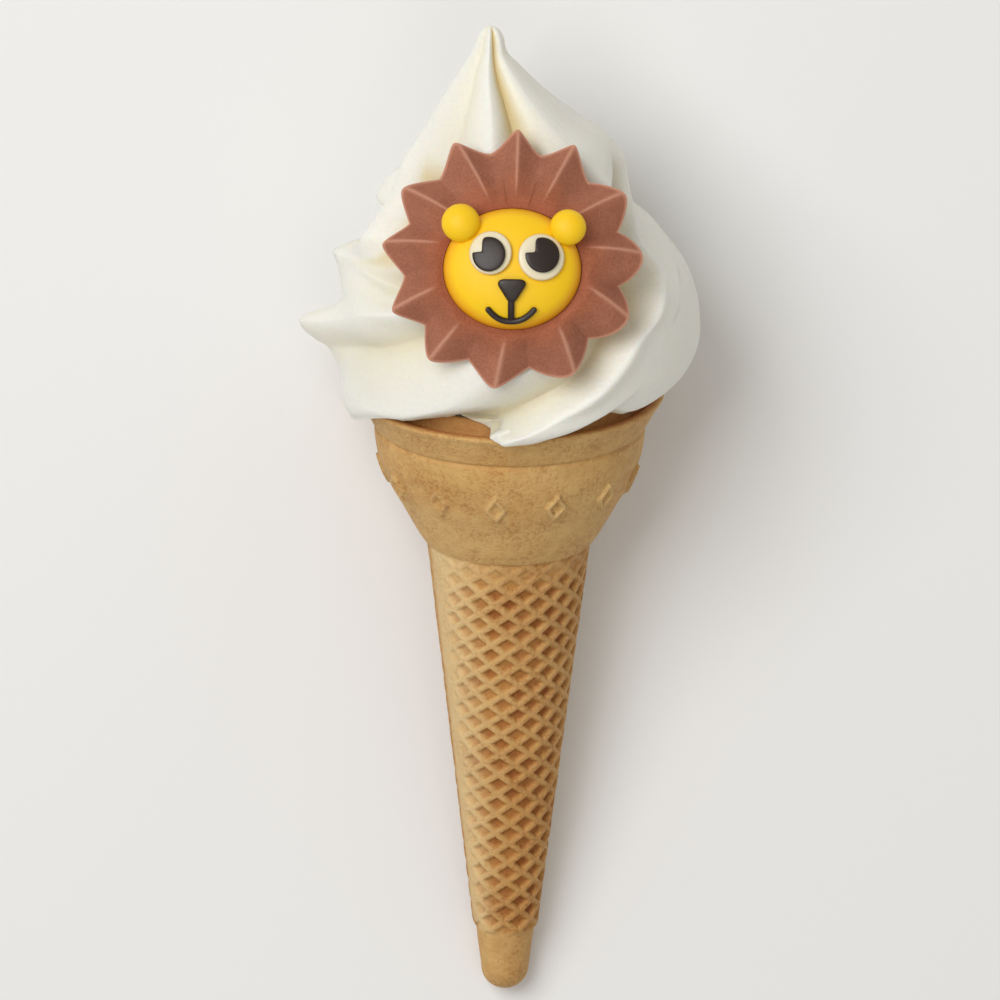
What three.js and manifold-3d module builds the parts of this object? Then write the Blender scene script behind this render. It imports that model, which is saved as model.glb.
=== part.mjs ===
// Soft serve ice cream in a moulded wafer cone, with a sugar animal face pressed
// into its front. It lies on its back, the face up and the peak toward +Y.
// Millimetres. Every piece is first worked out in the upright frame of the cone:
// its axis is +Z, the rim plane is z = 0, the shown side is -Y. A turn of zero
// degrees is the shown side and turns grow toward +X. The whole is then laid down.

import * as THREE from 'three';
import { mergeVertices } from 'three/addons/utils/BufferGeometryUtils.js';
import Module from 'manifold-3d';

const wasm = await Module();
wasm.setup();

const gap = 0.3; // clearance between neighbouring solids

// How it lies: the floor's distance behind the axis in the rim plane, and the
// lean of the axis, with the peak end higher. The last two centre the footprint.
const floorBehind = 30.4;
const lieLean = 12.4;
const tipClear = 0.3; // the wafer's tip over the floor, so the swirl's flat carries it
const centreX = 2.074;
const centreY = 24.548;

// Wafer cone
const rimRadius = 29.3;
const lipInnerRadius = 27.3;
const gutterRadius = 25.9;
const gutterDepth = 1;
const collarRadius = 24.8;
const collarTop = 2.2;
const wellRadius = 23.4;
const wellDepth = 12;
const bandFoot = -6.5;
const bandFootRadius = 25.9;
const cupZ = [-7.5, -9.5, -12.5, -15.6, -18.6, -21.6, -24.7, -27.7, -29.4];
const cupRadius = [25.7, 25.6, 25.1, 24.0, 22.7, 21.0, 19.3, 17.6, 16.5];
const shankTopRadius = 15.55;
const shankTopZ = -31;
const shankFootRadius = 6.25;
const shankFootZ = -109.2;
const tipTopRadius = 5.5;
const tipTopZ = -110.4;
const tipEndRadius = 4.6;
const tipEndZ = -122.6;
const roundSides = 40;

// Waffle pockets: two mould halves, each with diamonds on a diagonal lattice
const pocketHalfWidth = 2.95;
const pocketHalfHeight = 2.12;
const pocketDepth = 1.1;
const pocketFloor = 0.5;
const halfTurn = 24;
const halfSpan = 79;
const latticeTopZ = -32.6;
const latticeRows = 35;

// Raised hollow lozenges around the cup
const lozengeCount = 13;
const lozengeTurn = -6;
const lozengeZ = -16.2;
const lozengeHalfWidth = 2.2;
const lozengeHalfHeight = 3.5;
const lozengeStroke = 1.1;
const lozengeHeight = 0.7;

// Swirl: the turns of its six crests below the peak, how they wind downward
// together, and the twist that each of the first four adds
const peakZ = 72.4;
const peakLean = -4.2;
const leanFrom = 44;
const leanTo = 66;
const finTurns = [-85, 0, 60, 100, 165, 225];
const windZ = [-3.4, 0.6, 2.3, 7, 10.6, 15.2, 19.4, 22, 25.7, 27.7, 32.3, 38.6, 50, 75];
const windTurn = [104, 100, 93, 78, 70, 61, 52, 43, 34, 26, 20, 11, 0, 0];
const twistZ = [
  [8, 14, 20, 24, 28, 30, 33, 38, 44, 50, 56],
  [0, 8, 12.8, 19.6, 22.4, 24.2, 30, 40, 50, 60],
  [36, 40, 44, 48, 53],
  [8, 14, 20, 26, 32, 38, 44],
];
const twistTurn = [
  [0, 6, 14, 20, 26, 32, 32, 24, 15, 6, 0],
  [-38, -36, -25, -10, -3, 4, -3, -8, -10, -6],
  [-3, -1, 0, -8, -15],
  [0, -1, -5, -7, -6, -4, 0],
];

// Crest radius on the left and on the right, and the valleys between the crests
const crestZ = [
  -4, 0, 6, 12, 18, 24, 28, 33, 38.6, 42,
  46, 51, 55, 60, 64, 67, 70, 71.7, 72.4,
];
const leftRadius = [
  32.4, 32, 32, 32, 32, 32, 30.4, 27.8, 23.5, 21.4,
  19.6, 16.4, 13.3, 8.9, 5.7, 3.8, 2.5, 1.5, 0,
];
const rightRadius = [
  34, 34.6, 35.6, 36.1, 35.8, 33.9, 31.1, 27.2, 23.2, 22,
  21.4, 18.1, 13.6, 9, 5.8, 3.2, 2.4, 1.4, 0,
];
const valleyZ = [-4, 0, 3, 6, 9, 14, 20, 26, 32, 40, 50, 60, 75];
const valleyShare = [0.68, 0.66, 0.74, 0.82, 0.85, 0.87, 0.87, 0.8, 0.73, 0.7, 0.66, 0.62, 0.6];
const topDepths = { from: 38, to: 50, shares: [0.6, 1.1, 0.12, 1, 1, 1] };
const placeZ = [7, 11, 15, 21, 27, 35, 46, 60];
const valleyPlaces = [
  [0.72, 0.72, 0.72, 0.72, 0.72, 0.5, 0.5, 0.57],
  [0.22, 0.3, 0.42, 0.5, 0.5, 0.4, 0.33, 0.42],
  [0.62, 0.74, 0.8, 0.86, 0.88, 0.84, 0.7, 0.6],
];
const otherPlace = 0.72;
const crestRound = 1.5;
const valleyRound = 1.35;
const tail = { from: 1.5, to: 7.5, sharpness: 4 }; // of the third crest

// Lower edge of the swirl above the rim: its height, then swells of it by turn,
// spread and height, and how its last stretch curls in
const edgeZ = 2.6;
const edgeSwells = [[-92, 36, -8], [-30, 8, 1.2], [5, 13, -2.9], [-3.5, 5, -1.2], [34, 8, 2.7]];
const curlReach = 3.4;
const curlShare = 0.07;
const sideCurl = { turn: 95, spread: 42, reach: 6.3, share: 0.17 };
const hangBelow = 1.1; // highest edge that has to stay outside the rim
const hangClear = 1; // beyond the rim, where the edge hangs below it
const seatReach = 0.4; // beyond the collar, where the edge stands on it
const seatClear = 1.3; // beyond the collar, where the edge is lower than it

// Hollow before the fourth crest, its full lobe, and other full valleys by turn,
// spread, height, spread and share, the last being the back that the cone lies on
const hollow = { z: 29, spread: 9, depth: 0.2 };
const lobe = { from: 32, to: 40, share: 0.92 };
const filled = [[-92, 34, 0, 9, 1], [-84, 28, 21, 6, 1], [-106, 18, 9.5, 4.5, 1], [180, 30, 9, 11, 0.95]];

// A swelling, the fold at the side, whose slopes are reach over height, and the
// tip that the second crest is pulled into
const swelling = { turn: -112, spread: 12, z: 37.2, height: 4.7, reach: 6.8 };
const fold = {
  z: 26.8, radius: 29.4, middle: -66, spread: 34,
  above: 3.8, below: 0.5,
  tipTurn: -94, tipSpread: 8, tipReach: 6.2, tipAbove: 1.2,
};
const tip = { turn: -97, spread: 14, reach: 8.4, from: 0.9, above: 4.6, below: 8.8 };
const crestPitch = 0.19; // height of the second crest over each degree

// Thin beads along crests (crest, reach, spread, lowest and highest z), the fourth
// crest's dip, and the foot of the plug in the cup
const beads = [[0, 2, 5, 31, 50], [2, 0.9, 4, 40, 47], [3, 1.3, 5, 7, 28]];
const beadFade = 3.5;
const dip = { z: 32.5, spread: 4.5, share: 0.1, before: 0.4, after: 0.35 };
const plugBottom = -11;

// Sugar face: its disc leans back against the swirl
const faceX = 0.2;
const faceFront = 26.7;
const faceZ = 34.85;
const faceLean = 25;
const maneTipRadius = 24.5;
const maneValleyRadius = 20.5;
const maneUp = 0.12;
const maneSpikes = [-243, -212, -186, -156, -129, -98, -63, -28, 1, 30, 62, 88];
const maneRound = [0.1, 0.45, 0.3, 0.2, 0.5, 0.3, 0.8, 1, 1, 0.7, 0.1, 0];
const maneVeer = [-7, -6, -7, -3, 0, 3, 9, 9, 10, 7, 0, -1];
const maneBack = -2.6;
const maneFloor = 0.4;
const maneEdge = 0.9;
const maneShares = [0, 0.2, 0.6, 1];
const maneCrests = [2.1, 2.7, 1.9, 0.1];
const fluteDepth = 1.5;
const headWidth = 12.9;
const headHeight = 11.4;
const headSide = 0.8;
const headRise = 6.2;
const headDown = -1.9;
const ears = { ear_left: [-9.7, 6.3, 3.6], ear_right: [10.35, 5.6, 3.4] };
const earCentre = 5.8;
const earFlat = 0.78;
const whites = { eye_white_left: [-4.1, 0.5, 4, 4.15], eye_white_right: [5.4, -0.2, 4.35, 4.45] };
const whiteRise = 0.9;
const pupils = { pupil_left: [-4.4, 0.15, 3.1, 3.3], pupil_right: [5.6, 0.1, 3.2, 3.35] };
const pupilRise = 0.6;
const notchX = 0.42;
const notchY = 0.12;
const noseY = -6.2;
const noseTop = 1.75;
const noseSide = 1.9;
const noseSideTurn = -33;
const mouthX = -0.15;
const mouthTop = -9.6;
const mouthHalfWidth = 4.6;
const mouthSag = 2.5;
const mouthPower = 2.4;
const lineHalfWidth = 0.58;
const lineRise = 0.8;

const radians = THREE.MathUtils.degToRad;
const { lerp, smoothstep } = THREE.MathUtils;

function blend(knots, values, at) {
  // Smooth curve through the values at the knots, flat beyond both ends.
  const last = knots.length - 1;
  if (at <= knots[0]) return values[0];
  if (at >= knots[last]) return values[last];
  let i = 0;
  while (at > knots[i + 1]) i += 1;
  const slope = (j) => {
    const low = Math.max(j - 1, 0);
    const high = Math.min(j + 1, last);
    return (values[high] - values[low]) / (knots[high] - knots[low]);
  };
  const span = knots[i + 1] - knots[i];
  const t = (at - knots[i]) / span;
  const t2 = t * t;
  const t3 = t2 * t;
  const ends = (2 * t3 - 3 * t2 + 1) * values[i] + (3 * t2 - 2 * t3) * values[i + 1];
  return ends + span * ((t3 - 2 * t2 + t) * slope(i) + (t3 - t2) * slope(i + 1));
}

function bell(offset, spread) {
  return Math.exp(-((offset / spread) ** 2));
}

function turnsApart(a, b) {
  return ((((a - b) % 360) + 540) % 360) - 180;
}

// Upright point from a turn, a distance from the axis and a height.
function around(turn, radius, z, shift = 0) {
  return [radius * Math.sin(radians(turn)) + shift, -radius * Math.cos(radians(turn)), z];
}

// A radius cut back where it would reach below the floor that the cone lies on.
function aboveFloor(turn, radius, z) {
  const backward = -Math.cos(radians(turn));
  if (backward <= 0) return radius;
  const clear = z < tipTopZ ? tipClear : 0;
  return Math.min(radius, (floorBehind - clear + z * Math.tan(radians(lieLean))) / backward);
}

function geometryFrom(points, faces) {
  const geometry = new THREE.BufferGeometry();
  geometry.setAttribute('position', new THREE.Float32BufferAttribute(points.flat(), 3));
  geometry.setIndex(faces.flat());
  return geometry;
}

// Closed skin from rings of equal length between two end points.
function skin(firstPole, rings, lastPole) {
  const count = rings[0].length;
  const points = [firstPole, ...rings.flat(), lastPole];
  const faces = [];
  for (let i = 0; i < count; i += 1) {
    const next = (i + 1) % count;
    faces.push([0, 1 + next, 1 + i]);
    for (let row = 0; row < rings.length - 1; row += 1) {
      const low = 1 + row * count;
      const high = low + count;
      faces.push([low + i, low + next, high + i]);
      faces.push([low + next, high + next, high + i]);
    }
    const top = 1 + (rings.length - 1) * count;
    faces.push([top + i, top + next, points.length - 1]);
  }
  return geometryFrom(points, faces);
}

function toSolid(geometry) {
  const bare = geometry.clone();
  bare.deleteAttribute('normal');
  bare.deleteAttribute('uv');
  const merged = mergeVertices(bare, 1e-4);
  return new wasm.Manifold(new wasm.Mesh({
    numProp: 3,
    vertProperties: new Float32Array(merged.attributes.position.array),
    triVerts: new Uint32Array(merged.index.array),
  }));
}

function fromSolid(solid) {
  const mesh = solid.getMesh();
  const geometry = new THREE.BufferGeometry();
  geometry.setAttribute('position', new THREE.BufferAttribute(new Float32Array(mesh.vertProperties), 3));
  geometry.setIndex(new THREE.BufferAttribute(new Uint32Array(mesh.triVerts), 1));
  return geometry;
}

// ---- Wafer cone ----

function shankRadius(z) {
  const share = (shankTopZ - z) / (shankTopZ - shankFootZ);
  return shankTopRadius + (shankFootRadius - shankTopRadius) * share;
}

// Corner (k, j) of the diamond lattice of one mould half.
function latticePoint(half, k, j, depth) {
  const z = latticeTopZ - (latticeRows - j) * pocketHalfHeight;
  const radius = shankRadius(z);
  const turn = halfTurn + 180 * half + THREE.MathUtils.radToDeg((k * pocketHalfWidth) / radius);
  return { turn, z, point: around(turn, radius - depth, z) };
}

function rowReach(j) {
  const radius = latticePoint(0, 0, j, 0).point[1] / -Math.cos(radians(halfTurn));
  const columns = Math.floor((radius * radians(halfSpan)) / pocketHalfWidth);
  const widest = columns - 1;
  return (widest + j) % 2 === 0 ? widest : widest - 1;
}

// Triangles between two chains of points that run side by side.
function zip(faces, left, right, keyOf) {
  let i = 0;
  let j = 0;
  while (i < left.length - 1 || j < right.length - 1) {
    const stepLeft = j === right.length - 1
      || (i < left.length - 1 && keyOf(left[i + 1]) <= keyOf(right[j + 1]));
    if (stepLeft) {
      faces.push([left[i].index, right[j].index, left[i + 1].index]);
      i += 1;
    } else {
      faces.push([left[i].index, right[j].index, right[j + 1].index]);
      j += 1;
    }
  }
}

function waferCone() {
  const points = [];
  const faces = [];
  const add = (turn, z, point) => {
    points.push(point);
    return { index: points.length - 1, turn, z };
  };

  // Diamonds: four shared corners on the ridges and four on the pocket floor.
  const corners = new Map();
  const corner = (half, k, j) => {
    const key = `${half}:${k}:${j}`;
    if (!corners.has(key)) {
      const at = latticePoint(half, k, j, 0);
      corners.set(key, add(at.turn, at.z, at.point));
    }
    return corners.get(key);
  };
  for (let half = 0; half < 2; half += 1) {
    for (let j = 0; j < latticeRows; j += 1) {
      const reach = rowReach(j);
      for (let k = -reach; k <= reach; k += 2) {
        const rim = [corner(half, k, j - 1), corner(half, k + 1, j), corner(half, k, j + 1), corner(half, k - 1, j)];
        const floor = [[0, -1], [1, 0], [0, 1], [-1, 0]].map(([dk, dj]) => {
          const at = latticePoint(half, k + dk * pocketFloor, j + dj * pocketFloor, pocketDepth);
          return add(at.turn, at.z, at.point);
        });
        for (let side = 0; side < 4; side += 1) {
          const next = (side + 1) % 4;
          faces.push([rim[side].index, rim[next].index, floor[next].index]);
          faces.push([rim[side].index, floor[next].index, floor[side].index]);
        }
        faces.push([floor[0].index, floor[1].index, floor[2].index]);
        faces.push([floor[0].index, floor[2].index, floor[3].index]);
      }
    }
  }

  // Smooth bands along both mould seams, between the halves' zigzag edges.
  const seams = [];
  for (let side = 0; side < 2; side += 1) {
    const seam = [];
    const before = [];
    const after = [];
    for (let j = 0; j < latticeRows; j += 1) {
      const { z } = latticePoint(0, 0, j, 0);
      const turn = halfTurn + 90 + 180 * side;
      seam.push(add(turn, z, around(turn, shankRadius(z), z)));
      before.push(corner(side, rowReach(j) + 1, j));
      after.push(corner((side + 1) % 2, -rowReach(j) - 1, j));
    }
    zip(faces, before, seam, (entry) => entry.z);
    zip(faces, seam, after, (entry) => entry.z);
    seams.push(seam);
  }

  // The whole zigzag loop at the foot or the head of the lattice.
  const edgeLoop = (j, outward) => {
    const loop = [];
    for (let half = 0; half < 2; half += 1) {
      const reach = rowReach(j);
      for (let k = -reach - 1; k <= reach + 1; k += 1) {
        const onRow = (k + j) % 2 !== 0;
        loop.push(corner(half, k, onRow ? j : j + outward));
      }
      loop.push(seams[half][j]);
    }
    return loop;
  };

  const ring = (radius, z) => {
    const loop = [];
    for (let i = 0; i < roundSides; i += 1) {
      const turn = halfTurn - 90 + (360 * (i + 0.5)) / roundSides;
      loop.push(add(turn, z, around(turn, aboveFloor(turn, radius, z), z)));
    }
    return loop;
  };

  const bridge = (low, high) => {
    for (let i = 0; i < roundSides; i += 1) {
      const next = (i + 1) % roundSides;
      faces.push([low[i].index, low[next].index, high[next].index]);
      faces.push([low[i].index, high[next].index, high[i].index]);
    }
  };

  // Joins a ring and a zigzag loop, both closed by a turned copy of their first point.
  const join = (low, high) => {
    const start = halfTurn - 90;
    const wrap = (loop) => {
      const turned = loop.map((entry) => ({
        ...entry,
        turn: start + ((((entry.turn - start) % 360) + 360) % 360),
      }));
      turned.sort((a, b) => a.turn - b.turn);
      return [...turned, { ...turned[0], turn: turned[0].turn + 360 }];
    };
    zip(faces, wrap(high), wrap(low), (entry) => entry.turn);
  };

  // Below the lattice: a short chamfer, the plain tip and its round end.
  const stub = [];
  const endCentre = tipEndZ + tipEndRadius;
  for (let i = 1; i <= 4; i += 1) {
    const angle = radians(-90 + i * 20);
    stub.push(ring(tipEndRadius * Math.cos(angle), endCentre + tipEndRadius * Math.sin(angle)));
  }
  stub.push(ring(tipTopRadius, tipTopZ));
  const end = add(0, tipEndZ, [0, 0, tipEndZ]);
  for (let i = 0; i < roundSides; i += 1) {
    faces.push([end.index, stub[0][(i + 1) % roundSides].index, stub[0][i].index]);
  }
  for (let i = 0; i < stub.length - 1; i += 1) bridge(stub[i], stub[i + 1]);
  join(stub[stub.length - 1], edgeLoop(0, -1));

  // Above it: the cup, its band and lip, the gutter, the collar and the well.
  const cup = [
    [shankTopRadius, shankTopZ - 0.5],
    [cupRadius[cupRadius.length - 1] - 0.5, shankTopZ + 0.7],
    ...cupZ.map((z, i) => [cupRadius[i], z]).reverse(),
    [bandFootRadius - 0.3, bandFoot - 0.5],
    [bandFootRadius, bandFoot],
    [rimRadius - 0.6, -1.5],
    [rimRadius, -0.7],
    [rimRadius - 0.6, 0],
    [lipInnerRadius + 0.6, 0],
    [lipInnerRadius, -0.4],
    [gutterRadius, -gutterDepth],
    [collarRadius + 0.7, collarTop - 0.7],
    [collarRadius + 0.1, collarTop],
    [collarRadius - 0.6, collarTop - 0.1],
    [wellRadius, -1.4],
    [wellRadius - 2.4, -wellDepth],
  ].map(([radius, z]) => ring(radius, z));
  join(edgeLoop(latticeRows - 1, 1), cup[0]);
  for (let i = 0; i < cup.length - 1; i += 1) bridge(cup[i], cup[i + 1]);
  const well = add(0, -wellDepth, [0, 0, -wellDepth]);
  const wellFoot = cup[cup.length - 1];
  for (let i = 0; i < roundSides; i += 1) {
    faces.push([well.index, wellFoot[i].index, wellFoot[(i + 1) % roundSides].index]);
  }

  // Lozenges stand on the sloping side of the cup.
  let cone = toSolid(geometryFrom(points, faces));
  for (let i = 0; i < lozengeCount; i += 1) {
    cone = cone.add(toSolid(lozenge(lozengeTurn + (360 * i) / lozengeCount)));
  }
  return fromSolid(cone);
}

function lozenge(turn) {
  const outline = (halfWidth, halfHeight) => [
    new THREE.Vector2(halfWidth, 0),
    new THREE.Vector2(0, halfHeight),
    new THREE.Vector2(-halfWidth, 0),
    new THREE.Vector2(0, -halfHeight),
  ];
  const shape = new THREE.Shape(outline(lozengeHalfWidth, lozengeHalfHeight));
  const inner = outline(lozengeHalfWidth - lozengeStroke, lozengeHalfHeight - 1.6 * lozengeStroke);
  shape.holes.push(new THREE.Path(inner.reverse()));
  const depth = 3 * lozengeHeight;
  const geometry = new THREE.ExtrudeGeometry(shape, { depth, bevelEnabled: false });
  const low = coneRadius(lozengeZ - lozengeHalfHeight);
  const high = coneRadius(lozengeZ + lozengeHalfHeight);
  const slope = Math.atan((high - low) / (2 * lozengeHalfHeight));
  geometry.translate(0, 0, lozengeHeight - depth);
  geometry.rotateX(Math.PI / 2 + slope);
  geometry.translate(0, -coneRadius(lozengeZ), lozengeZ);
  geometry.rotateZ(radians(turn));
  return geometry;
}

function coneRadius(z) {
  return blend([...cupZ].reverse(), [...cupRadius].reverse(), z);
}

// ---- Swirl ----

function crestTurn(fin, z) {
  const crest = fin % 6;
  const own = finTurns[crest] + 60 * (fin - crest);
  const twist = crest < twistZ.length ? blend(twistZ[crest], twistTurn[crest], z) : 0;
  return own - blend(windZ, windTurn, z) + twist;
}

function columnTurn(fin, share, z) {
  return lerp(crestTurn(fin, z), crestTurn(fin + 1, z), share);
}

// Height between two crests as a share. The third crest falls off at once where
// its tail ends over the rim.
function flute(fin, share, z) {
  const place = fin < valleyPlaces.length ? blend(placeZ, valleyPlaces[fin], z) : otherPlace;
  const toValley = share < place ? share / place : (1 - share) / (1 - place);
  const atTail = fin === 2 && share < place ? 1 - smoothstep(z, tail.from, tail.to) : 0;
  return (1 - toValley ** crestRound) ** (valleyRound + tail.sharpness * atTail);
}

function fullness(fin, turn, z) {
  let full = fin === 3 ? lobe.share * (1 - smoothstep(z, lobe.from, lobe.to)) : 0;
  for (const [middle, spread, height, heightSpread, share] of filled) {
    const here = share * bell(turnsApart(turn, middle), spread) * bell(z - height, heightSpread);
    full = Math.max(full, here);
  }
  return full;
}

// A share of the radius that the fourth crest loses at its dip.
function dipAt(fin, share, z) {
  const deepest = dip.share * bell(z - dip.z, dip.spread);
  if (fin === 3) return deepest * (1 - smoothstep(share, 0, dip.after));
  if (fin === 2) return deepest * smoothstep(share, 1 - dip.before, 1);
  return 0;
}

// The greater of two radii, with the corner between them rounded.
function softMax(a, b) {
  return 0.5 * (a + b + Math.sqrt((a - b) ** 2 + 2));
}

function foldRadius(turn, z) {
  const above = z - fold.z;
  const fromTip = turnsApart(turn, fold.tipTurn);
  const slope = above > 0 ? fold.above - fold.tipAbove * bell(fromTip, 1.5 * fold.tipSpread) : fold.below;
  const outside = (1 - bell(turnsApart(turn, fold.middle), fold.spread)) ** 4;
  const reach = fold.tipReach * bell(fromTip, fold.tipSpread);
  const past = Math.sqrt(above ** 2 + 0.3) - 0.55;
  return (fold.radius + reach - slope * past) * (1 - outside);
}

function swirlRadius(fin, share, turn, z) {
  const right = 0.5 + 0.5 * Math.sin(radians(turn));
  const crest = lerp(blend(crestZ, leftRadius, z), blend(crestZ, rightRadius, z), right);
  const topDepth = lerp(1, topDepths.shares[fin], smoothstep(z, topDepths.from, topDepths.to));
  const sunk = fin === 2 ? hollow.depth * bell(z - hollow.z, hollow.spread) : 0;
  const deep = 1 - (blend(valleyZ, valleyShare, z) - sunk);
  const depth = deep * topDepth * (1 - fullness(fin, turn, z)) * (1 - flute(fin, share, z));
  let radius = crest * (1 - dipAt(fin, share, z)) * (1 - depth);

  for (const [bead, rise, spread, bottom, top] of beads) {
    const risen = smoothstep(z, bottom - beadFade, bottom + beadFade);
    const along = risen * (1 - smoothstep(z, top - beadFade, top + beadFade));
    radius += rise * bell(turnsApart(turn, crestTurn(bead, z)), spread) * along;
  }
  const swollen = bell(turnsApart(turn, swelling.turn), swelling.spread);
  radius += swelling.reach * swollen * bell((z - swelling.z) ** 2, swelling.height ** 2);

  const belowSecond = crestPitch * turnsApart(turn, crestTurn(1, z));
  const thinning = belowSecond < 0
    ? smoothstep(-belowSecond, tip.from, tip.above)
    : smoothstep(belowSecond, 0, tip.below);
  radius += tip.reach * bell(turnsApart(turn, tip.turn), tip.spread) * (1 - thinning);
  return softMax(radius, foldRadius(turn, z));
}

// The last stretch above the lower edge curls in like a quarter of an ellipse.
function curled(radius, turn, z, low) {
  const side = bell(turnsApart(turn, sideCurl.turn), sideCurl.spread);
  const down = THREE.MathUtils.clamp(1 - (z - low) / (curlReach + sideCurl.reach * side), 0, 1);
  return radius * (1 - (curlShare + sideCurl.share * side) * (1 - Math.sqrt(1 - down * down)));
}

// Cuts a radius back to the floor behind and to the sugar face in front.
function clearance(turn, radius, z) {
  const forward = Math.cos(radians(turn));
  if (forward <= 0) return aboveFloor(turn, radius, z);
  const lean = radians(faceLean);
  const toPlane = faceFront * Math.cos(lean) + faceZ * Math.sin(lean) + maneBack - gap;
  return Math.min(radius, (toPlane - z * Math.sin(lean)) / (forward * Math.cos(lean)));
}

function lowerEdge(turn) {
  let z = edgeZ;
  for (const [middle, spread, height] of edgeSwells) z += height * bell(turnsApart(turn, middle), spread);
  return z;
}

// The foot stands on the collar or stays outside it, and outside the wall where it
// hangs over the rim.
function overRim(radius, z, low) {
  const seat = collarRadius + lerp(seatClear, seatReach, smoothstep(low, collarTop, collarTop + 0.4));
  const atFoot = 1 - smoothstep(z, edgeZ, edgeZ + 3);
  const hanging = 1 - smoothstep(low, hangBelow - 0.4, hangBelow);
  const outside = (rimRadius + hangClear) * hanging * (1 - smoothstep(z, edgeZ - 0.4, edgeZ + 2.6));
  return Math.max(radius, outside, seat * atFoot);
}

function swirl() {
  const columns = 10;
  const rows = 33;
  const feet = [];
  for (let fin = 0; fin < 6; fin += 1) {
    for (let i = 0; i < columns; i += 1) {
      const share = i / columns;
      let low = 0;
      for (let pass = 0; pass < 30; pass += 1) {
        low += 0.35 * (lowerEdge(columnTurn(fin, share, low)) - low);
      }
      feet.push({ fin, share, low });
    }
  }
  const skinRadius = ({ fin, share, low }, turn, z) => {
    const radius = curled(swirlRadius(fin, share, turn, z), turn, z, low);
    return clearance(turn, overRim(radius, z, low), z);
  };
  const footTurn = ({ fin, share, low }) => columnTurn(fin, share, low);

  // Plug in the well, then the underside over the collar, which slopes down over
  // the rim to the lower edge.
  const above = collarTop + gap;
  const pastCollar = collarRadius + 1.9;
  const beyondRim = rimRadius + gap;
  const rings = [
    [wellRadius - 2.8, plugBottom],
    [wellRadius - 0.5, -1.5],
    [wellRadius - gap, above],
  ].map(([radius, z]) => feet.map((foot) => around(footTurn(foot), radius, z)));
  const underside = feet.map((foot) => {
    const turn = footTurn(foot);
    const over = Math.min(skinRadius(foot, turn, foot.low) - 0.6, beyondRim);
    const out = THREE.MathUtils.clamp((over - pastCollar) / (beyondRim - pastCollar), 0, 1);
    return { turn, over, z: Math.max(lerp(above, 0.4, out), foot.low - 0.6) };
  });
  rings.push(underside.map(({ turn, over }) => around(turn, Math.min(over, pastCollar), above)));
  rings.push(underside.map(({ turn, over, z }) => around(turn, over, z)));
  for (let row = 0; row <= rows; row += 1) {
    const up = (row / (rows + 1)) ** 1.3;
    rings.push(feet.map((foot) => {
      const z = lerp(foot.low, peakZ, up);
      const turn = columnTurn(foot.fin, foot.share, z);
      return around(turn, skinRadius(foot, turn, z), z, peakLean * smoothstep(z, leanFrom, leanTo));
    }));
  }
  return skin([0, 0, plugBottom], rings, [peakLean, 0, peakZ]);
}

// ---- Sugar face, in its own frame: right, up the disc, out of the disc ----

// Distance from the disc's centre to the head's outline, grown by a margin.
function headReach(angle, margin) {
  const width = headWidth + margin;
  const height = headHeight + margin;
  const a = (Math.cos(angle) / width) ** 2 + (Math.sin(angle) / height) ** 2;
  const b = (-Math.sin(angle) * headDown) / height ** 2;
  const c = (headDown / height) ** 2 - 1;
  return (-b + Math.sqrt(b * b - a * c)) / a;
}

// Petals between their tips and the valleys, and scoops that run outward between
// crest lines, which veer off toward the head.
function mane() {
  const perSpike = 6;
  const spokes = [];
  maneSpikes.forEach((from, i) => {
    const next = (i + 1) % maneSpikes.length;
    const to = next > 0 ? maneSpikes[next] : maneSpikes[0] + 360;
    for (let step = 0; step < perSpike; step += 1) {
      const between = step / perSpike;
      const angle = lerp(from, to, between);
      const veer = lerp(maneVeer[i], maneVeer[next], between);
      spokes.push({ angle, veer, between, roundness: maneRound[between < 0.5 ? i : next] });
    }
  });
  const at = ({ angle, veer, between, roundness }, share, below) => {
    const fromTip = 1 - Math.abs(2 * between - 1);
    const petal = lerp((1 - fromTip) ** 1.7, 1 - fromTip ** 1.5, roundness);
    const outline = lerp(maneValleyRadius, maneTipRadius, petal);
    const turned = radians(angle + veer * (1 - share ** 2));
    const radius = lerp(headReach(turned, 0.5), outline, share);
    const scoop = fluteDepth * (4 * between * (1 - between)) ** 1.25 * smoothstep(share, 0, 0.7);
    const height = blend(maneShares, maneCrests, share) - scoop - below;
    return [radius * Math.cos(turned), radius * Math.sin(turned) + maneUp * share, height];
  };
  const flat = (spoke, share, height) => {
    const [x, y] = at(spoke, share, 0);
    return [x, y, height];
  };
  const rings = [
    spokes.map((spoke) => flat(spoke, 0.25, maneBack)),
    spokes.map((spoke) => at(spoke, 0.98, maneEdge)),
    ...[1, 0.7, 0.35, 0].map((share) => spokes.map((spoke) => at(spoke, share, 0))),
    spokes.map((spoke) => flat(spoke, 0, maneFloor)),
  ];
  return skin([0, 0, maneBack], rings, [0, 0, maneFloor]);
}

function headSurface(x, y) {
  const across = Math.min(1, (x / headWidth) ** 2 + ((y - headDown) / headHeight) ** 2);
  return maneFloor + gap + headSide + headRise * (1 - across) ** 0.4;
}

// The head's pillow, or the same grown on all sides, which trims the ears.
function head(grow) {
  const sides = 28;
  const ringAt = (share, height) => {
    const ring = [];
    for (let i = 0; i < sides; i += 1) {
      const angle = (2 * Math.PI * i) / sides;
      const x = (headWidth + grow) * share * Math.cos(angle);
      ring.push([x, headDown + (headHeight + grow) * share * Math.sin(angle), height]);
    }
    return ring;
  };
  const foot = maneFloor + gap;
  const rings = [ringAt(0.94, foot - grow)];
  for (const share of [1, 0.97, 0.88, 0.72, 0.5, 0.25]) {
    rings.push(ringAt(share, headSurface(share * headWidth, headDown) + grow));
  }
  return skin([0, headDown, foot - grow], rings, [0, headDown, foot + headSide + headRise + grow]);
}

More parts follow.
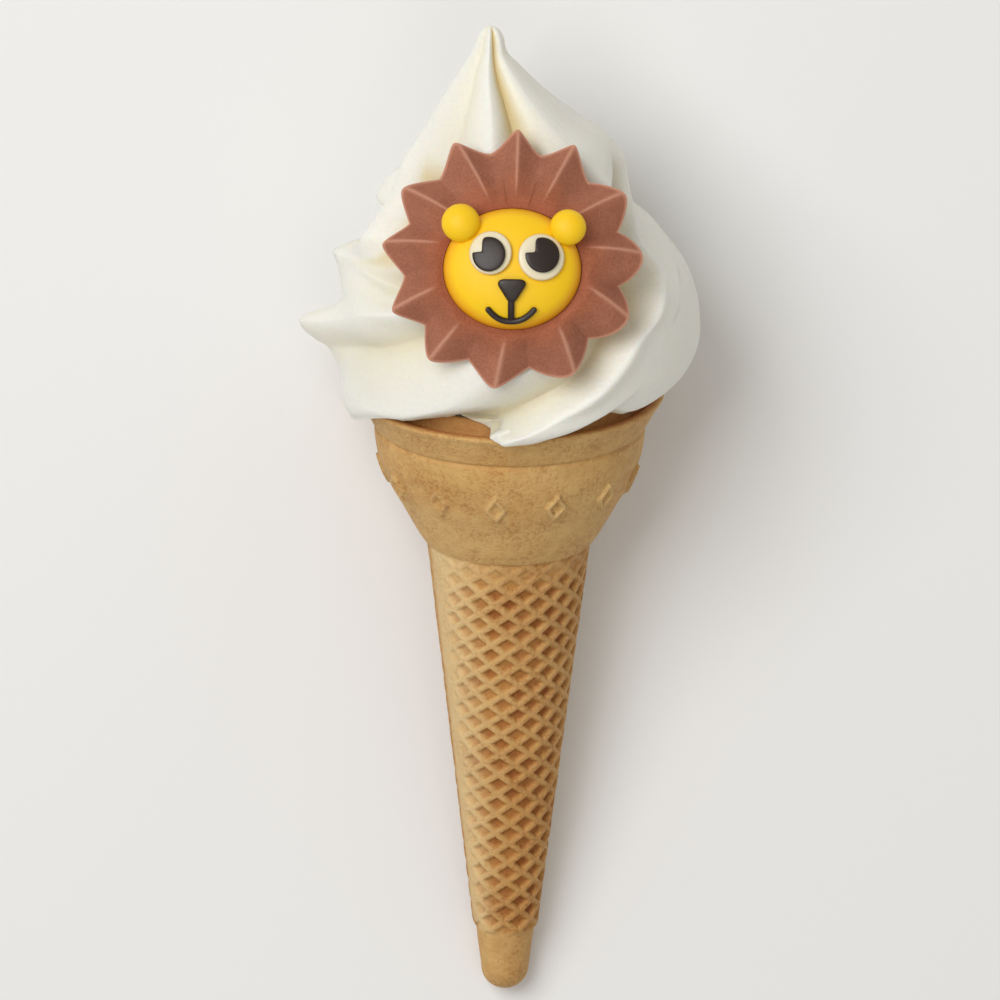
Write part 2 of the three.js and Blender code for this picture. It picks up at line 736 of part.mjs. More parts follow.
function ear([x, y, radius]) {
  const ball = new THREE.SphereGeometry(radius, 14, 8);
  ball.scale(1, 1, earFlat);
  ball.translate(x, y, earCentre);
  return fromSolid(toSolid(ball).subtract(toSolid(head(gap))));
}

// A thin pad on the head with an outline given by its radius at each angle.
function pad([x, y, width, height], lift, rise, outlineAt) {
  const sides = 20;
  const ringAt = (share, thickness) => {
    const ring = [];
    for (let i = 0; i < sides; i += 1) {
      const angle = (2 * Math.PI * i) / sides;
      const reach = share * outlineAt(angle);
      const px = x + width * reach * Math.cos(angle);
      const py = y + height * reach * Math.sin(angle);
      ring.push([px, py, headSurface(px, py) + lift + thickness]);
    }
    return ring;
  };
  const rings = [ringAt(0.96, 0), ringAt(1, 0.45 * rise), ringAt(0.86, 0.85 * rise), ringAt(0.45, rise)];
  return skin([x, y, headSurface(x, y) + lift], rings, [x, y, headSurface(x, y) + lift + rise]);
}

// Round pupil without the quarter up and left of the notch's corner.
function pupilOutline(angle) {
  const up = Math.max(Math.sin(angle), 1e-3);
  const left = Math.max(-Math.cos(angle), 1e-3);
  const notch = ((notchX / left) ** 4 + (notchY / up) ** 4) ** 0.25;
  return (1 + notch ** -7) ** (-1 / 7);
}

// Triangle with a level top and rounded corners.
function noseOutline(angle) {
  const turn = radians(noseSideTurn);
  const low = Math.sin(angle) * Math.sin(turn);
  const sides = [
    Math.sin(angle) / noseTop,
    (Math.cos(angle) * Math.cos(turn) + low) / noseSide,
    (-Math.cos(angle) * Math.cos(turn) + low) / noseSide,
  ];
  return sides.reduce((sum, side) => sum + Math.max(side, 0) ** 3, 0) ** (-1 / 3);
}

// Nose, stem and smile in one piped line, bent to the head's surface.
function muzzle() {
  const corners = [];
  for (let i = 0; i < 14; i += 1) {
    const angle = (2 * Math.PI * i) / 14;
    const reach = noseOutline(angle);
    corners.push(new THREE.Vector2(mouthX + reach * Math.cos(angle), noseY + reach * Math.sin(angle)));
  }
  const nose = new THREE.Shape(corners);

  // The smile's two edges, on both sides of a bowl-shaped curve.
  const edge = (side) => {
    const points = [];
    for (let i = 0; i <= 10; i += 1) {
      const across = Math.sin(((i / 10) - 0.5) * Math.PI);
      const slope = mouthSag * mouthPower * Math.abs(across) ** (mouthPower - 1) * Math.sign(across);
      const normal = new THREE.Vector2(-slope, mouthHalfWidth).setLength(side * lineHalfWidth);
      const y = mouthTop - mouthSag * (1 - Math.abs(across) ** mouthPower);
      points.push(new THREE.Vector2(mouthX + mouthHalfWidth * across, y).add(normal));
    }
    return points;
  };
  const smile = new THREE.Shape([...edge(-1), ...edge(1).reverse()]);

  const stem = new THREE.Shape();
  stem.moveTo(mouthX - lineHalfWidth, noseY - 0.5);
  stem.lineTo(mouthX - lineHalfWidth, mouthTop - mouthSag);
  stem.lineTo(mouthX + lineHalfWidth, mouthTop - mouthSag);
  stem.lineTo(mouthX + lineHalfWidth, noseY - 0.5);

  const raised = (shape) => toSolid(new THREE.ExtrudeGeometry(shape, { depth: lineRise, bevelEnabled: false }));
  const joined = fromSolid(raised(nose).add(raised(stem)).add(raised(smile)));
  const points = joined.attributes.position;
  for (let i = 0; i < points.count; i += 1) {
    const onHead = headSurface(points.getX(i), points.getY(i));
    points.setZ(i, points.getZ(i) + onHead + gap);
  }
  return joined;
}

const model = new THREE.Group();
const upright = new THREE.Group();
upright.rotation.x = radians(lieLean - 90);
upright.position.set(centreX, centreY, floorBehind * Math.cos(radians(lieLean)));
model.add(upright);

const disc = new THREE.Group();
disc.position.set(faceX, -faceFront, faceZ);
disc.rotation.x = radians(90 - faceLean);
upright.add(disc);

function piece(group, name, geometry, color, roughness) {
  geometry.computeVertexNormals();
  const mesh = new THREE.Mesh(geometry, new THREE.MeshStandardMaterial({ color, roughness, metalness: 0 }));
  mesh.name = name;
  group.add(mesh);
  return mesh;
}

piece(upright, 'wafer_cone', waferCone(), 0xc59a5c, 0.8);
piece(upright, 'ice_cream_swirl', swirl(), 0xf3f0e2, 0.45);
piece(disc, 'mane', mane(), 0x96583f, 0.7);
piece(disc, 'head', head(0), 0xf2c410, 0.5);
for (const name of Object.keys(ears)) piece(disc, name, ear(ears[name]), 0xf2c410, 0.5);
for (const name of Object.keys(whites)) {
  piece(disc, name, pad(whites[name], gap, whiteRise, () => 1), 0xf2ead0, 0.4);
}
for (const name of Object.keys(pupils)) {
  piece(disc, name, pad(pupils[name], 2 * gap + whiteRise, pupilRise, pupilOutline), 0x3a2a22, 0.35);
}
piece(disc, 'nose_and_mouth', muzzle(), 0x3a2a22, 0.4);

export default model;
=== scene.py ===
import math

import bpy
import numpy as np
from mathutils import Matrix, Vector


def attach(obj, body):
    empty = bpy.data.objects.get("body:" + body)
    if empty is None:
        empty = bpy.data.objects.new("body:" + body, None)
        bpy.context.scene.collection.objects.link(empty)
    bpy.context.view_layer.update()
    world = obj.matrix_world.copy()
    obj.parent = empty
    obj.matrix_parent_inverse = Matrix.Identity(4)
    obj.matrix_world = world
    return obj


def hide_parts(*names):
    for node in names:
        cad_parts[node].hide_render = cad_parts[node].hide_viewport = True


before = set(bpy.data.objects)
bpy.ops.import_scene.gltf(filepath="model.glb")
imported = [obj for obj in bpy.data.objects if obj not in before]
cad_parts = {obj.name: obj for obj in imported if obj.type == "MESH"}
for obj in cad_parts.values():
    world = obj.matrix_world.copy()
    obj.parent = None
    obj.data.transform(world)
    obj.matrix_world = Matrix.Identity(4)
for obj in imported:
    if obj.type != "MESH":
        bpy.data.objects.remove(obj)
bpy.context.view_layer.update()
print("frame loaded")

# Sizes are in millimetres, in the upright frame of the cone: its axis is z, the
# rim plane is z = 0, and a turn of zero degrees is the shown side.
lie = {
    "floorBehind": 30.4,  # from the axis to the floor, in the rim plane
    "lean": 12.4,  # the peak end lies higher
    "centreX": 2.074, "centreY": 24.548,
    "tipClear": 0.3, "tipTopZ": -110.4,  # the wafer's tip over the floor, below that height
}


def layDown(points):
    # upright millimetres (x right, y away from the shown side, z up) to metres as
    # the cone lies: a turn about x by lean - 90 degrees, then the shift to the floor
    angle = math.radians(lie["lean"] - 90)
    cosA, sinA = math.cos(angle), math.sin(angle)
    x, y, z = points[..., 0], points[..., 1], points[..., 2]
    floorUp = lie["floorBehind"] * math.cos(math.radians(lie["lean"]))
    laid = np.stack([
        x + lie["centreX"],
        y * cosA - z * sinA + lie["centreY"],
        y * sinA + z * cosA + floorUp,
    ], axis=-1)
    return laid * 0.001


def blend(knots, values, at):
    # cubic through the values at the knots, with slopes from the neighbours on
    # both sides, and flat beyond both ends
    knots, values = np.asarray(knots, float), np.asarray(values, float)
    order = np.argsort(knots)
    knots, values = knots[order], values[order]
    high = np.minimum(np.arange(len(knots)) + 1, len(knots) - 1)
    low = np.maximum(np.arange(len(knots)) - 1, 0)
    slopes = (values[high] - values[low]) / (knots[high] - knots[low])
    x = np.clip(at, knots[0], knots[-1])
    i = np.clip(np.searchsorted(knots, x, side="right") - 1, 0, len(knots) - 2)
    span = knots[i + 1] - knots[i]
    t = (x - knots[i]) / span
    t2, t3 = t * t, t * t * t
    ends = (2 * t3 - 3 * t2 + 1) * values[i] + (3 * t2 - 2 * t3) * values[i + 1]
    return ends + span * ((t3 - 2 * t2 + t) * slopes[i] + (t3 - t2) * slopes[i + 1])


def bell(offset, spread):
    # exp of minus (offset / spread) squared
    return np.exp(-((offset / spread) ** 2))


def smooth(x, low, high):
    # 3 t^2 - 2 t^3, where t runs from 0 at low to 1 at high
    t = np.clip((x - low) / (high - low), 0, 1)
    return t * t * (3 - 2 * t)


def turnsApart(a, b):
    return (a - b + 540) % 360 - 180


def around(turn, radius, z, shift=0.0):
    # x = r sin(turn) + shift, y = -r cos(turn), z
    rad = np.radians(turn)
    return np.stack([radius * np.sin(rad) + shift, -radius * np.cos(rad), z + 0 * rad], axis=-1)


def ripple(a, b, seed, waves=6):
    # a sum of sines in two directions with seeded slopes and phases, about -1 to 1
    rng = np.random.default_rng(seed)
    total = 0.0
    for _ in range(waves):
        slopeA, slopeB = rng.uniform(-1, 1, 2)
        total = total + np.sin(slopeA * a + slopeB * b + rng.uniform(0, 6.28))
    return total / waves


def aboveFloor(turn, radius, z):
    # the radius at which a ray from the axis meets the floor is the most it may be
    backward = -np.cos(np.radians(turn))
    clear = np.where(z < lie["tipTopZ"], lie["tipClear"], 0)
    floor = lie["floorBehind"] - clear + z * math.tan(math.radians(lie["lean"]))
    limit = np.where(backward > 1e-3, floor / np.maximum(backward, 1e-3), 1e6)
    return np.minimum(radius, limit)


def surfaceMesh(name, rings, firstPole, lastPole, marks):
    # rings is (rows, columns, 3) in metres, low to high and counterclockwise seen
    # from above; the poles close both ends; marks are one number for each grid point
    rows, columns = rings.shape[:2]
    points = [rings.reshape(-1, 3)]
    i, j = np.meshgrid(np.arange(rows - 1), np.arange(columns), indexing="ij")
    nextJ = (j + 1) % columns
    row, above = i * columns, (i + 1) * columns
    quads = np.stack([row + j, row + nextJ, above + nextJ, above + j], axis=-1)
    loops = [quads.reshape(-1)]
    counts = [np.full(quads.reshape(-1, 4).shape[0], 4)]
    j = np.arange(columns)
    nextJ = (j + 1) % columns
    total = rows * columns
    first, last, top = np.full(columns, total), np.full(columns, total + 1), total - columns
    points += [firstPole.reshape(1, 3), lastPole.reshape(1, 3)]
    loops.append(np.stack([first, nextJ, j], axis=-1).reshape(-1))
    loops.append(np.stack([top + j, top + nextJ, last], axis=-1).reshape(-1))
    counts += [np.full(columns, 3)] * 2
    co = np.concatenate(points)
    loops, counts = np.concatenate(loops), np.concatenate(counts)
    mesh = bpy.data.meshes.new(name)
    mesh.vertices.add(len(co))
    mesh.vertices.foreach_set("co", co.astype(np.float32).reshape(-1))
    mesh.loops.add(len(loops))
    mesh.loops.foreach_set("vertex_index", loops.astype(np.int32))
    mesh.polygons.add(len(counts))
    mesh.polygons.foreach_set("loop_start", (np.cumsum(counts) - counts).astype(np.int32))
    mesh.polygons.foreach_set("use_smooth", np.ones(len(counts), bool))
    mesh.update(calc_edges=True)
    for key, values in marks.items():
        full = np.zeros(len(co), np.float32)
        full[: rows * columns] = np.broadcast_to(values, (rows, columns)).reshape(-1)
        mesh.attributes.new(key, "FLOAT", "POINT").data.foreach_set("value", full)
    mesh.validate()
    piece = bpy.data.objects.new(name, mesh)
    bpy.context.scene.collection.objects.link(piece)
    return piece


def dress(piece, node, material):
    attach(piece, "root")
    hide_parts(node)
    piece.data.materials.append(material)
    return piece


# ---- camera, looking down on the shown side ----
view = {
    "elevation": 20.0,  # over the upright cone's rim plane
    "distance": 2500.0,
    "span": 190.0,  # width of the picture at the cone
    "right": -1.9,  # the picture's middle from the rim's middle
    "up": -21.3,
    "roll": 0.5,
}


def makeCamera():
    tilt = math.radians(view["elevation"])
    towards = np.array([0, -math.cos(tilt), math.sin(tilt)])
    right = np.array([1.0, 0, 0])
    up = np.array([0, math.sin(tilt), math.cos(tilt)])
    roll = math.radians(view["roll"])
    cosR, sinR = math.cos(roll), math.sin(roll)
    right, up = right * cosR + up * sinR, up * cosR - right * sinR
    middle = right * view["right"] + up * view["up"]
    origin = layDown(np.zeros(3))
    place = Vector(layDown(middle + towards * view["distance"]))
    axes = [Vector(layDown(a) - origin).normalized() for a in (right, up, towards)]
    camera = bpy.data.objects.new("camera", bpy.data.cameras.new("camera"))
    bpy.context.scene.collection.objects.link(camera)
    camera.matrix_world = Matrix.Translation(place) @ Matrix(axes).transposed().to_4x4()
    camera.data.sensor_width = 36
    camera.data.lens = 36 * view["distance"] / view["span"]
    camera.data.clip_end = 20
    bpy.context.scene.camera = camera


makeCamera()
print("camera placed")


# ---- materials ----
def groupSocket(group, name, kind, output=False):
    return group.interface.new_socket(name, in_out="OUTPUT" if output else "INPUT", socket_type=kind)


def link(tree, a, b):
    tree.links.new(a, b)


def grainGroup():
    # fine bumps over broad ones, and a speckle mask, from object coordinates
    group = bpy.data.node_groups.new("fine grain", "ShaderNodeTree")
    for name in ("Fine Scale", "Broad Scale", "Fine Share"):
        groupSocket(group, name, "NodeSocketFloat")
    groupSocket(group, "Height", "NodeSocketFloat", True)
    groupSocket(group, "Broad", "NodeSocketFloat", True)
    nodes = group.nodes
    given, out = nodes.new("NodeGroupInput"), nodes.new("NodeGroupOutput")
    place = nodes.new("ShaderNodeTexCoord")
    fine, broad = nodes.new("ShaderNodeTexNoise"), nodes.new("ShaderNodeTexNoise")
    fine.inputs["Detail"].default_value = 4
    broad.inputs["Detail"].default_value = 3
    mix = nodes.new("ShaderNodeMix")
    link(group, place.outputs["Object"], fine.inputs["Vector"])
    link(group, place.outputs["Object"], broad.inputs["Vector"])
    link(group, given.outputs["Fine Scale"], fine.inputs["Scale"])
    link(group, given.outputs["Broad Scale"], broad.inputs["Scale"])
    link(group, given.outputs["Fine Share"], mix.inputs["Factor"])
    link(group, broad.outputs["Fac"], mix.inputs["A"])
    link(group, fine.outputs["Fac"], mix.inputs["B"])
    link(group, mix.outputs["Result"], out.inputs["Height"])
    link(group, broad.outputs["Fac"], out.inputs["Broad"])
    return group


grain = grainGroup()


def srgb(red, green, blue):
    # display colour out of 255 to linear light
    shares = [c / 255 for c in (red, green, blue)]
    return [((c + 0.055) / 1.055) ** 2.4 if c > 0.04 else c / 12.92 for c in shares] + [1.0]


def newMaterial(name, roughness, subsurface=0.0, radius=None):
    material = bpy.data.materials.new(name)
    material.use_nodes = True
    shader = material.node_tree.nodes["Principled BSDF"]
    shader.inputs["Roughness"].default_value = roughness
    shader.inputs["Subsurface Weight"].default_value = subsurface
    if radius:
        shader.inputs["Subsurface Radius"].default_value = radius
        shader.inputs["Subsurface Scale"].default_value = 1.0
    return material, material.node_tree, shader


def addGrain(tree, fine, broad, share):
    node = tree.nodes.new("ShaderNodeGroup")
    node.node_tree = grain
    node.inputs["Fine Scale"].default_value = fine
    node.inputs["Broad Scale"].default_value = broad
    node.inputs["Fine Share"].default_value = share
    return node


def addRamp(tree, source, stops):
    # stops are (place, colour)
    ramp = tree.nodes.new("ShaderNodeValToRGB")
    elements = ramp.color_ramp.elements
    while len(elements) < len(stops):
        elements.new(0.5)
    for element, (place, colour) in zip(elements, stops):
        element.position = place
        element.color = colour
    link(tree, source, ramp.inputs["Fac"])
    return ramp.outputs["Color"]


def addMark(tree, name):
    node = tree.nodes.new("ShaderNodeAttribute")
    node.attribute_name = name
    return node.outputs["Fac"]


def mixColour(tree, factor, a, b, mode="MIX"):
    node = tree.nodes.new("ShaderNodeMix")
    node.data_type = "RGBA"
    node.blend_type = mode
    for socket, value in (("Factor", factor), ("A", a), ("B", b)):
        target = [s for s in node.inputs if s.name == socket and s.enabled][0]
        if isinstance(value, (int, float, list)):
            target.default_value = value
        else:
            link(tree, value, target)
    return [s for s in node.outputs if s.enabled][0]


def addMath(tree, kind, a, b=0.5):
    node = tree.nodes.new("ShaderNodeMath")
    node.operation = kind
    for index, value in enumerate((a, b)):
        if isinstance(value, (int, float)):
            node.inputs[index].default_value = value
        else:
            link(tree, value, node.inputs[index])
    return node.outputs[0]


def addBump(tree, shader, height, distance, strength=1.0):
    bump = tree.nodes.new("ShaderNodeBump")
    bump.inputs["Distance"].default_value = distance
    bump.inputs["Strength"].default_value = strength
    link(tree, height, bump.inputs["Height"])
    link(tree, bump.outputs["Normal"], shader.inputs["Normal"])


def waferMaterial():
    material, tree, shader = newMaterial("baked wafer", 0.72, 0.12, (0.002, 0.001, 0.0005))
    detail = addGrain(tree, 1500, 160, 0.6)
    blotch = addGrain(tree, 420, 55, 0.5)
    relief = addMark(tree, "relief")
    # toasting together with painted shade and painted highlight: the pocket floors (relief 0) darker
    # brown, the ridges and raised lozenges lighter
    stops = [(0.0, srgb(182, 122, 58)), (0.5, srgb(212, 167, 98))]
    stops += [(0.62, srgb(214, 174, 110)), (1.0, srgb(222, 186, 126))]
    bakedAndShaded = addRamp(tree, relief, stops)
    tone = addRamp(tree, blotch.outputs["Height"], [(0.35, srgb(214, 188, 156)), (0.62, [1, 1, 1, 1])])
    bakedAndShaded = mixColour(tree, addMark(tree, "inside"), bakedAndShaded, srgb(186, 118, 58))
    base = mixColour(tree, 0.55, bakedAndShaded, tone, "MULTIPLY")
    specks = addRamp(tree, detail.outputs["Height"], [(0.36, srgb(200, 160, 112)), (0.5, [1, 1, 1, 1])])
    colour = mixColour(tree, 0.5, base, specks, "MULTIPLY")
    # the shank darkened towards its right and its tip: browning together with painted shade on the side
    # away from the key light
    colour = mixColour(tree, addMark(tree, "bakedAndShaded"), colour, srgb(229, 207, 178), "MULTIPLY")
    # a paler strip by each mould seam: the seam's own colour, and on the shown left also painted light
    # on the side facing the key light
    colour = mixColour(tree, addMark(tree, "pale"), colour, srgb(234, 210, 162))
    link(tree, colour, shader.inputs["Base Color"])
    addBump(tree, shader, detail.outputs["Height"], 0.0006, 0.7)
    return material


def creamMaterial():
    material, tree, shader = newMaterial("soft serve", 0.42, 0.35, (0.004, 0.003, 0.0018))
    detail = addGrain(tree, 1100, 130, 0.5)
    # painted shade: this mark darkens and yellows the valleys and the underside, from the lit cream
    # colour to the shaded valley colour
    hollow = addMark(tree, "hollow")
    stops = [(0.0, srgb(240, 239, 231)), (0.45, srgb(236, 231, 211)), (1.0, srgb(222, 203, 152))]
    colour = addRamp(tree, hollow, stops)
    # painted sparkle: fine specks stay at full brightness and the rest is dimmed a little, in place of
    # glints off ice crystals
    sparkleGrain = addGrain(tree, 5200, 1500, 0.5)
    stops = [(0.3, [0.94, 0.935, 0.92, 1]), (0.5, [1, 1, 1, 1])]
    paintedSparkle = addRamp(tree, sparkleGrain.outputs["Height"], stops)
    colour = mixColour(tree, 1.0, colour, paintedSparkle, "MULTIPLY")
    link(tree, colour, shader.inputs["Base Color"])
    addBump(tree, shader, detail.outputs["Height"], 0.0004, 0.6)
    return material


def maneMaterial():
    material, tree, shader = newMaterial("brown sugar paste", 0.75, 0.05, (0.001, 0.0005, 0.0003))
    detail = addGrain(tree, 2400, 240, 0.6)
    edge = addMark(tree, "edge")
    stops = [(0.3, srgb(148, 89, 65)), (0.7, srgb(184, 118, 89))]
    plain = addRamp(tree, detail.outputs["Height"], stops)
    # painted shade: the paste darkens towards the head, in place of the shade where the head sits in
    # the mane
    stops = [(0.2, srgb(240, 218, 196)), (0.6, srgb(240, 238, 238))]
    inner = addRamp(tree, addMark(tree, "outward"), stops)
    plain = mixColour(tree, 1.0, plain, inner, "MULTIPLY")
    # lighter on the crest lines and the outer rim: partly dusty paste, partly painted highlight
    colour = mixColour(tree, addMath(tree, "MULTIPLY", edge, 0.7), plain, srgb(214, 158, 132))
    link(tree, colour, shader.inputs["Base Color"])
    addBump(tree, shader, detail.outputs["Height"], 0.0002, 0.5)
    return material


def icingMaterial(name, middle, rim, roughness, subsurface):
    material, tree, shader = newMaterial(name, roughness, subsurface, (0.0015, 0.001, 0.0003))
    detail = addGrain(tree, 1600, 200, 0.5)
    # painted shade: the colour turns from the middle colour to the darker rim colour where the surface
    # turns away towards its edges
    side = addMark(tree, "side")
    colour = addRamp(tree, side, [(0.0, middle), (0.6, middle), (1.0, rim)])
    link(tree, colour, shader.inputs["Base Color"])
    addBump(tree, shader, detail.outputs["Height"], 0.0001, 0.4)
    return material


wafer = waferMaterial()
cream = creamMaterial()
brownPaste = maneMaterial()
yellowPaste = icingMaterial("yellow sugar paste", srgb(255, 205, 2), srgb(244, 166, 0), 0.55, 0.25)
creamIcing = icingMaterial("cream icing", srgb(240, 228, 196), srgb(226, 200, 150), 0.35, 0.2)
darkIcing = icingMaterial("dark icing", srgb(40, 27, 21), srgb(34, 22, 17), 0.42, 0.0)
print("materials made")

# ---- wafer cone ----
stem = {
    "topRadius": 15.55, "topZ": -31.0, "sunk": 1.4,  # into the cup
    "footRadius": 6.25, "footZ": -109.2,
    "tipRadius": 5.5, "tipTopZ": -110.4,
    "endRadius": 4.6, "endZ": -122.6,
    "halfWidth": 2.95, "halfHeight": 2.12,  # of a diamond pocket
    "depth": 1.1,
    "floor": 0.26, "brim": 0.385,  # wall, as shares from the pocket's middle
    "halfTurn": 24.0, "halfSpan": 79.0,
    "latticeTopZ": -32.6, "rows": 35,
    "columns": 336, "heights": 290,
}


def stemBase(z):
    share = (stem["topZ"] - z) / (stem["topZ"] - stem["footZ"])
    cone = stem["topRadius"] + (stem["footRadius"] - stem["topRadius"]) * share
    endCentre = stem["endZ"] + stem["endRadius"]
    plainShare = np.clip((z - endCentre) / (stem["tipTopZ"] - endCentre), 0, 1)
    plain = stem["endRadius"] + (stem["tipRadius"] - stem["endRadius"]) * plainShare
    dome = np.sqrt(np.maximum(stem["endRadius"] ** 2 - np.minimum(z - endCentre, 0) ** 2, 0))
    plain = np.where(z < endCentre, dome, plain)
    return cone, plain


def stemSurface(turn, z):
    # the cone's radius less the pocket's depth: in the lattice's own coordinates a
    # and b the pockets are unit squares, with flat ridges between them, and the
    # pattern fades at the two mould seams
    cone, plain = stemBase(z)
    fromHalf = turnsApart(turn, stem["halfTurn"])
    half = np.where(np.abs(fromHalf) > 90, 1, 0)
    fromHalf = np.where(half == 1, turnsApart(fromHalf, 180), fromHalf)
    across = cone * np.radians(fromHalf) / stem["halfWidth"]
    along = stem["rows"] + (z - stem["latticeTopZ"]) / stem["halfHeight"]
    along = along + 0.05 * ripple(0.9 * across, 0.7 * along, 11)
    across = across + 0.05 * ripple(0.8 * along, 0.9 * across, 12)
    a, b = (across + along) / 2, (along - across) / 2
    roundA, roundB = np.round(a), np.round(b)
    row = roundA + roundB
    e = np.maximum(np.abs(a - roundA), np.abs(b - roundB))
    luck = np.sin(roundA * 12.9898 + roundB * 78.233 + half * 37.7) * 43758.5453
    luck = luck - np.floor(luck)
    sunk = 1 - smooth(e, stem["floor"] - 0.05 * luck, stem["brim"] - 0.03 * luck)
    seam = 1 - smooth(np.abs(fromHalf), stem["halfSpan"] - 9, stem["halfSpan"] + 5)
    head = 0.35 + 0.65 * smooth(-z, 31.5, 38)
    depth = stem["depth"] * (0.8 + 0.3 * luck) * sunk * seam * head
    below = smooth(-z, -stem["footZ"] - 0.3, -stem["footZ"] + 0.9)
    depth = np.where(row < 0, np.maximum(sunk, below) * (cone - plain), depth)
    radius = np.where(z > stem["tipTopZ"], cone - depth, plain)
    radius = np.where(row < 0, radius, (cone - depth) * (1 - below) + plain * below)
    # the colour ramp reads this relief: pockets painted darker as shade with toasting, ridges lighter
    # as a painted highlight
    relief = 1 - np.where(row < 0, 0.35 * sunk, sunk * seam * head * (0.75 + 0.25 * luck))
    relief = relief * (1 - below) + 0.62 * below
    relief = np.where(seam < 0.5, np.minimum(relief, 0.85), relief)
    radius = radius + 0.07 * ripple(turn * 0.22, z * 0.9, 3)
    patches = 1 + 0.2 * ripple(turn * 0.05, z * 0.09, 14)
    # browning together with painted shade: darker from the shank's left towards its right, away from
    # the key light, and towards the tip, in random patches
    bakedAndShaded = smooth(fromHalf, -72, -10) * (1 - smooth(fromHalf, 76, 89))
    bakedAndShaded = bakedAndShaded * (0.7 + 0.3 * smooth(-z, 50, 95)) * (1 - 0.7 * below) * patches
    # paler by each mould seam: partly the seam's own colour, partly painted light on the shank's lit
    # left side
    pale = 0.42 * (1 - smooth(fromHalf, -78, -38) + smooth(fromHalf, 78, 89.9)) * (1 - below)
    return radius, {"relief": relief, "bakedAndShaded": np.clip(bakedAndShaded, 0, 1), "pale": pale}


def makeStem():
    endCentre = stem["endZ"] + stem["endRadius"]
    dome = endCentre - stem["endRadius"] * np.cos(np.linspace(0.06, math.pi / 2, 22))
    top = stem["topZ"] + stem["sunk"]
    straight = np.linspace(endCentre, top, stem["heights"] - len(dome) + 1)[1:]
    z = np.concatenate([dome, straight])[:, None]
    turn = np.linspace(0, 360, stem["columns"], endpoint=False)[None, :]
    z, turn = np.broadcast_arrays(z, turn)
    radius, marks = stemSurface(turn, z)
    radius = aboveFloor(turn, radius, z)
    rings = layDown(around(turn, radius, z))
    low = layDown(np.array([0, 0, stem["endZ"]]))
    high = layDown(np.array([0, 0, top]))
    piece = surfaceMesh("waferStem", rings, low, high, marks)
    return dress(piece, "wafer_cone", wafer)


cup = {
    "z": [-7.5, -9.5, -12.5, -15.6, -18.6, -21.6, -24.7, -27.7, -29.4],
    "radius": [25.7, 25.6, 25.1, 24.0, 22.7, 21.0, 19.3, 17.6, 16.5],
    # radius and height of the ledge's corners, then from the band's foot over the
    # rim, the gutter and the collar down into the well
    "ledge": [(14.6, -30.3), (15.7, -30.2), (16.1, -29.95)],
    "rim": [
        (25.35, -7.0), (25.45, -6.75), (25.9, -6.45), (26.2, -5.9), (28.4, -2.0),
        (29.0, -1.2), (29.3, -0.7), (29.15, -0.2), (28.7, 0.0), (28.1, 0.05),
        (27.7, -0.08), (27.3, -0.4), (26.6, -0.85), (26.1, -1.0), (25.7, -0.75),
        (25.5, -0.2), (25.45, 0.8), (25.3, 1.7), (25.0, 2.1), (24.6, 2.2),
        (24.2, 2.05), (24.0, 1.6), (23.4, -1.4), (22.9, -4), (20.9, -12.0),
    ],
    "sideLength": 30.0, "outsideLength": 36.0,  # along the profile, from the foot
    "rimRadius": 29.3, "collarRadius": 24.8, "collarTop": 2.2,
    "wellRadius": 23.4,
    "lozenges": 13, "lozengeTurn": -6.0, "lozengeZ": -16.2,
    "lozengeHalfWidth": 2.2, "lozengeHalfHeight": 3.5,
    "lozengeStroke": 1.1, "lozengeHeight": 0.7,
    "columns": 460,
}


def cupProfile():
    # radius and height from the cup's foot, over the rim and down into the well
    side = [(radius, z) for z, radius in sorted(zip(cup["z"], cup["radius"]))]
    return np.array(cup["ledge"] + side + cup["rim"])


def makeCup():
    # the profile turned about the axis, evenly spaced along its length, plus the
    # raised lozenges: a band about |u| / width + |v| / height = 1
    corners = cupProfile()
    steps = np.concatenate([[0], np.cumsum(np.linalg.norm(np.diff(corners, axis=0), axis=1))])
    along = np.unique(np.concatenate([np.arange(0, steps[-1], 0.33), steps]))[:, None]
    turn = np.linspace(0, 360, cup["columns"], endpoint=False)[None, :]
    radius = np.interp(along, steps, corners[:, 0]) + 0 * turn
    z = np.interp(along, steps, corners[:, 1]) + 0 * turn
    side = (z > -28.5) & (z < -8) & (along < cup["sideLength"])
    radius = np.where(side, blend(cup["z"], cup["radius"], z), radius)
    pitch = 360 / cup["lozenges"]
    fromLozenge = (turn - cup["lozengeTurn"] + pitch / 2) % pitch - pitch / 2
    u = radius * np.radians(fromLozenge) / (cup["lozengeHalfWidth"] - cup["lozengeStroke"] / 2)
    v = (z - cup["lozengeZ"]) / (0.92 * (cup["lozengeHalfHeight"] - 0.8 * cup["lozengeStroke"]))
    off = np.abs(np.abs(u) + np.abs(v) - 1)
    raised = np.where(side, 1 - smooth(off, 0.18, 0.42), 0)
    radius = radius + cup["lozengeHeight"] * raised
    outside = along < cup["outsideLength"]
    radius = radius + np.where(outside, 0.10 * ripple(turn * 0.16, z * 0.6, 5), 0)
    # the raised lozenges get more relief, so they are painted lighter as a highlight
    relief = 0.62 + 0.25 * raised + 0.12 * ripple(turn * 0.1, z * 0.35, 6)
    relief = np.where(along > cup["outsideLength"], 0.35, relief)
    radius = aboveFloor(turn, radius, z)
    rings = layDown(around(turn, radius, z))
    low = layDown(np.array([0, 0, corners[0][1]]))
    high = layDown(np.array([0, 0, corners[-1][1]]))
    gutter = smooth(along, 34.5, 36.0) * (1 - 0.75 * smooth(along, 37.2, 39.4))
    marks = {"relief": relief, "inside": gutter}
    piece = surfaceMesh("waferCup", rings, low, high, marks)
    return dress(piece, "wafer_cone", wafer)


makeStem()
makeCup()
print("wafer cone made")

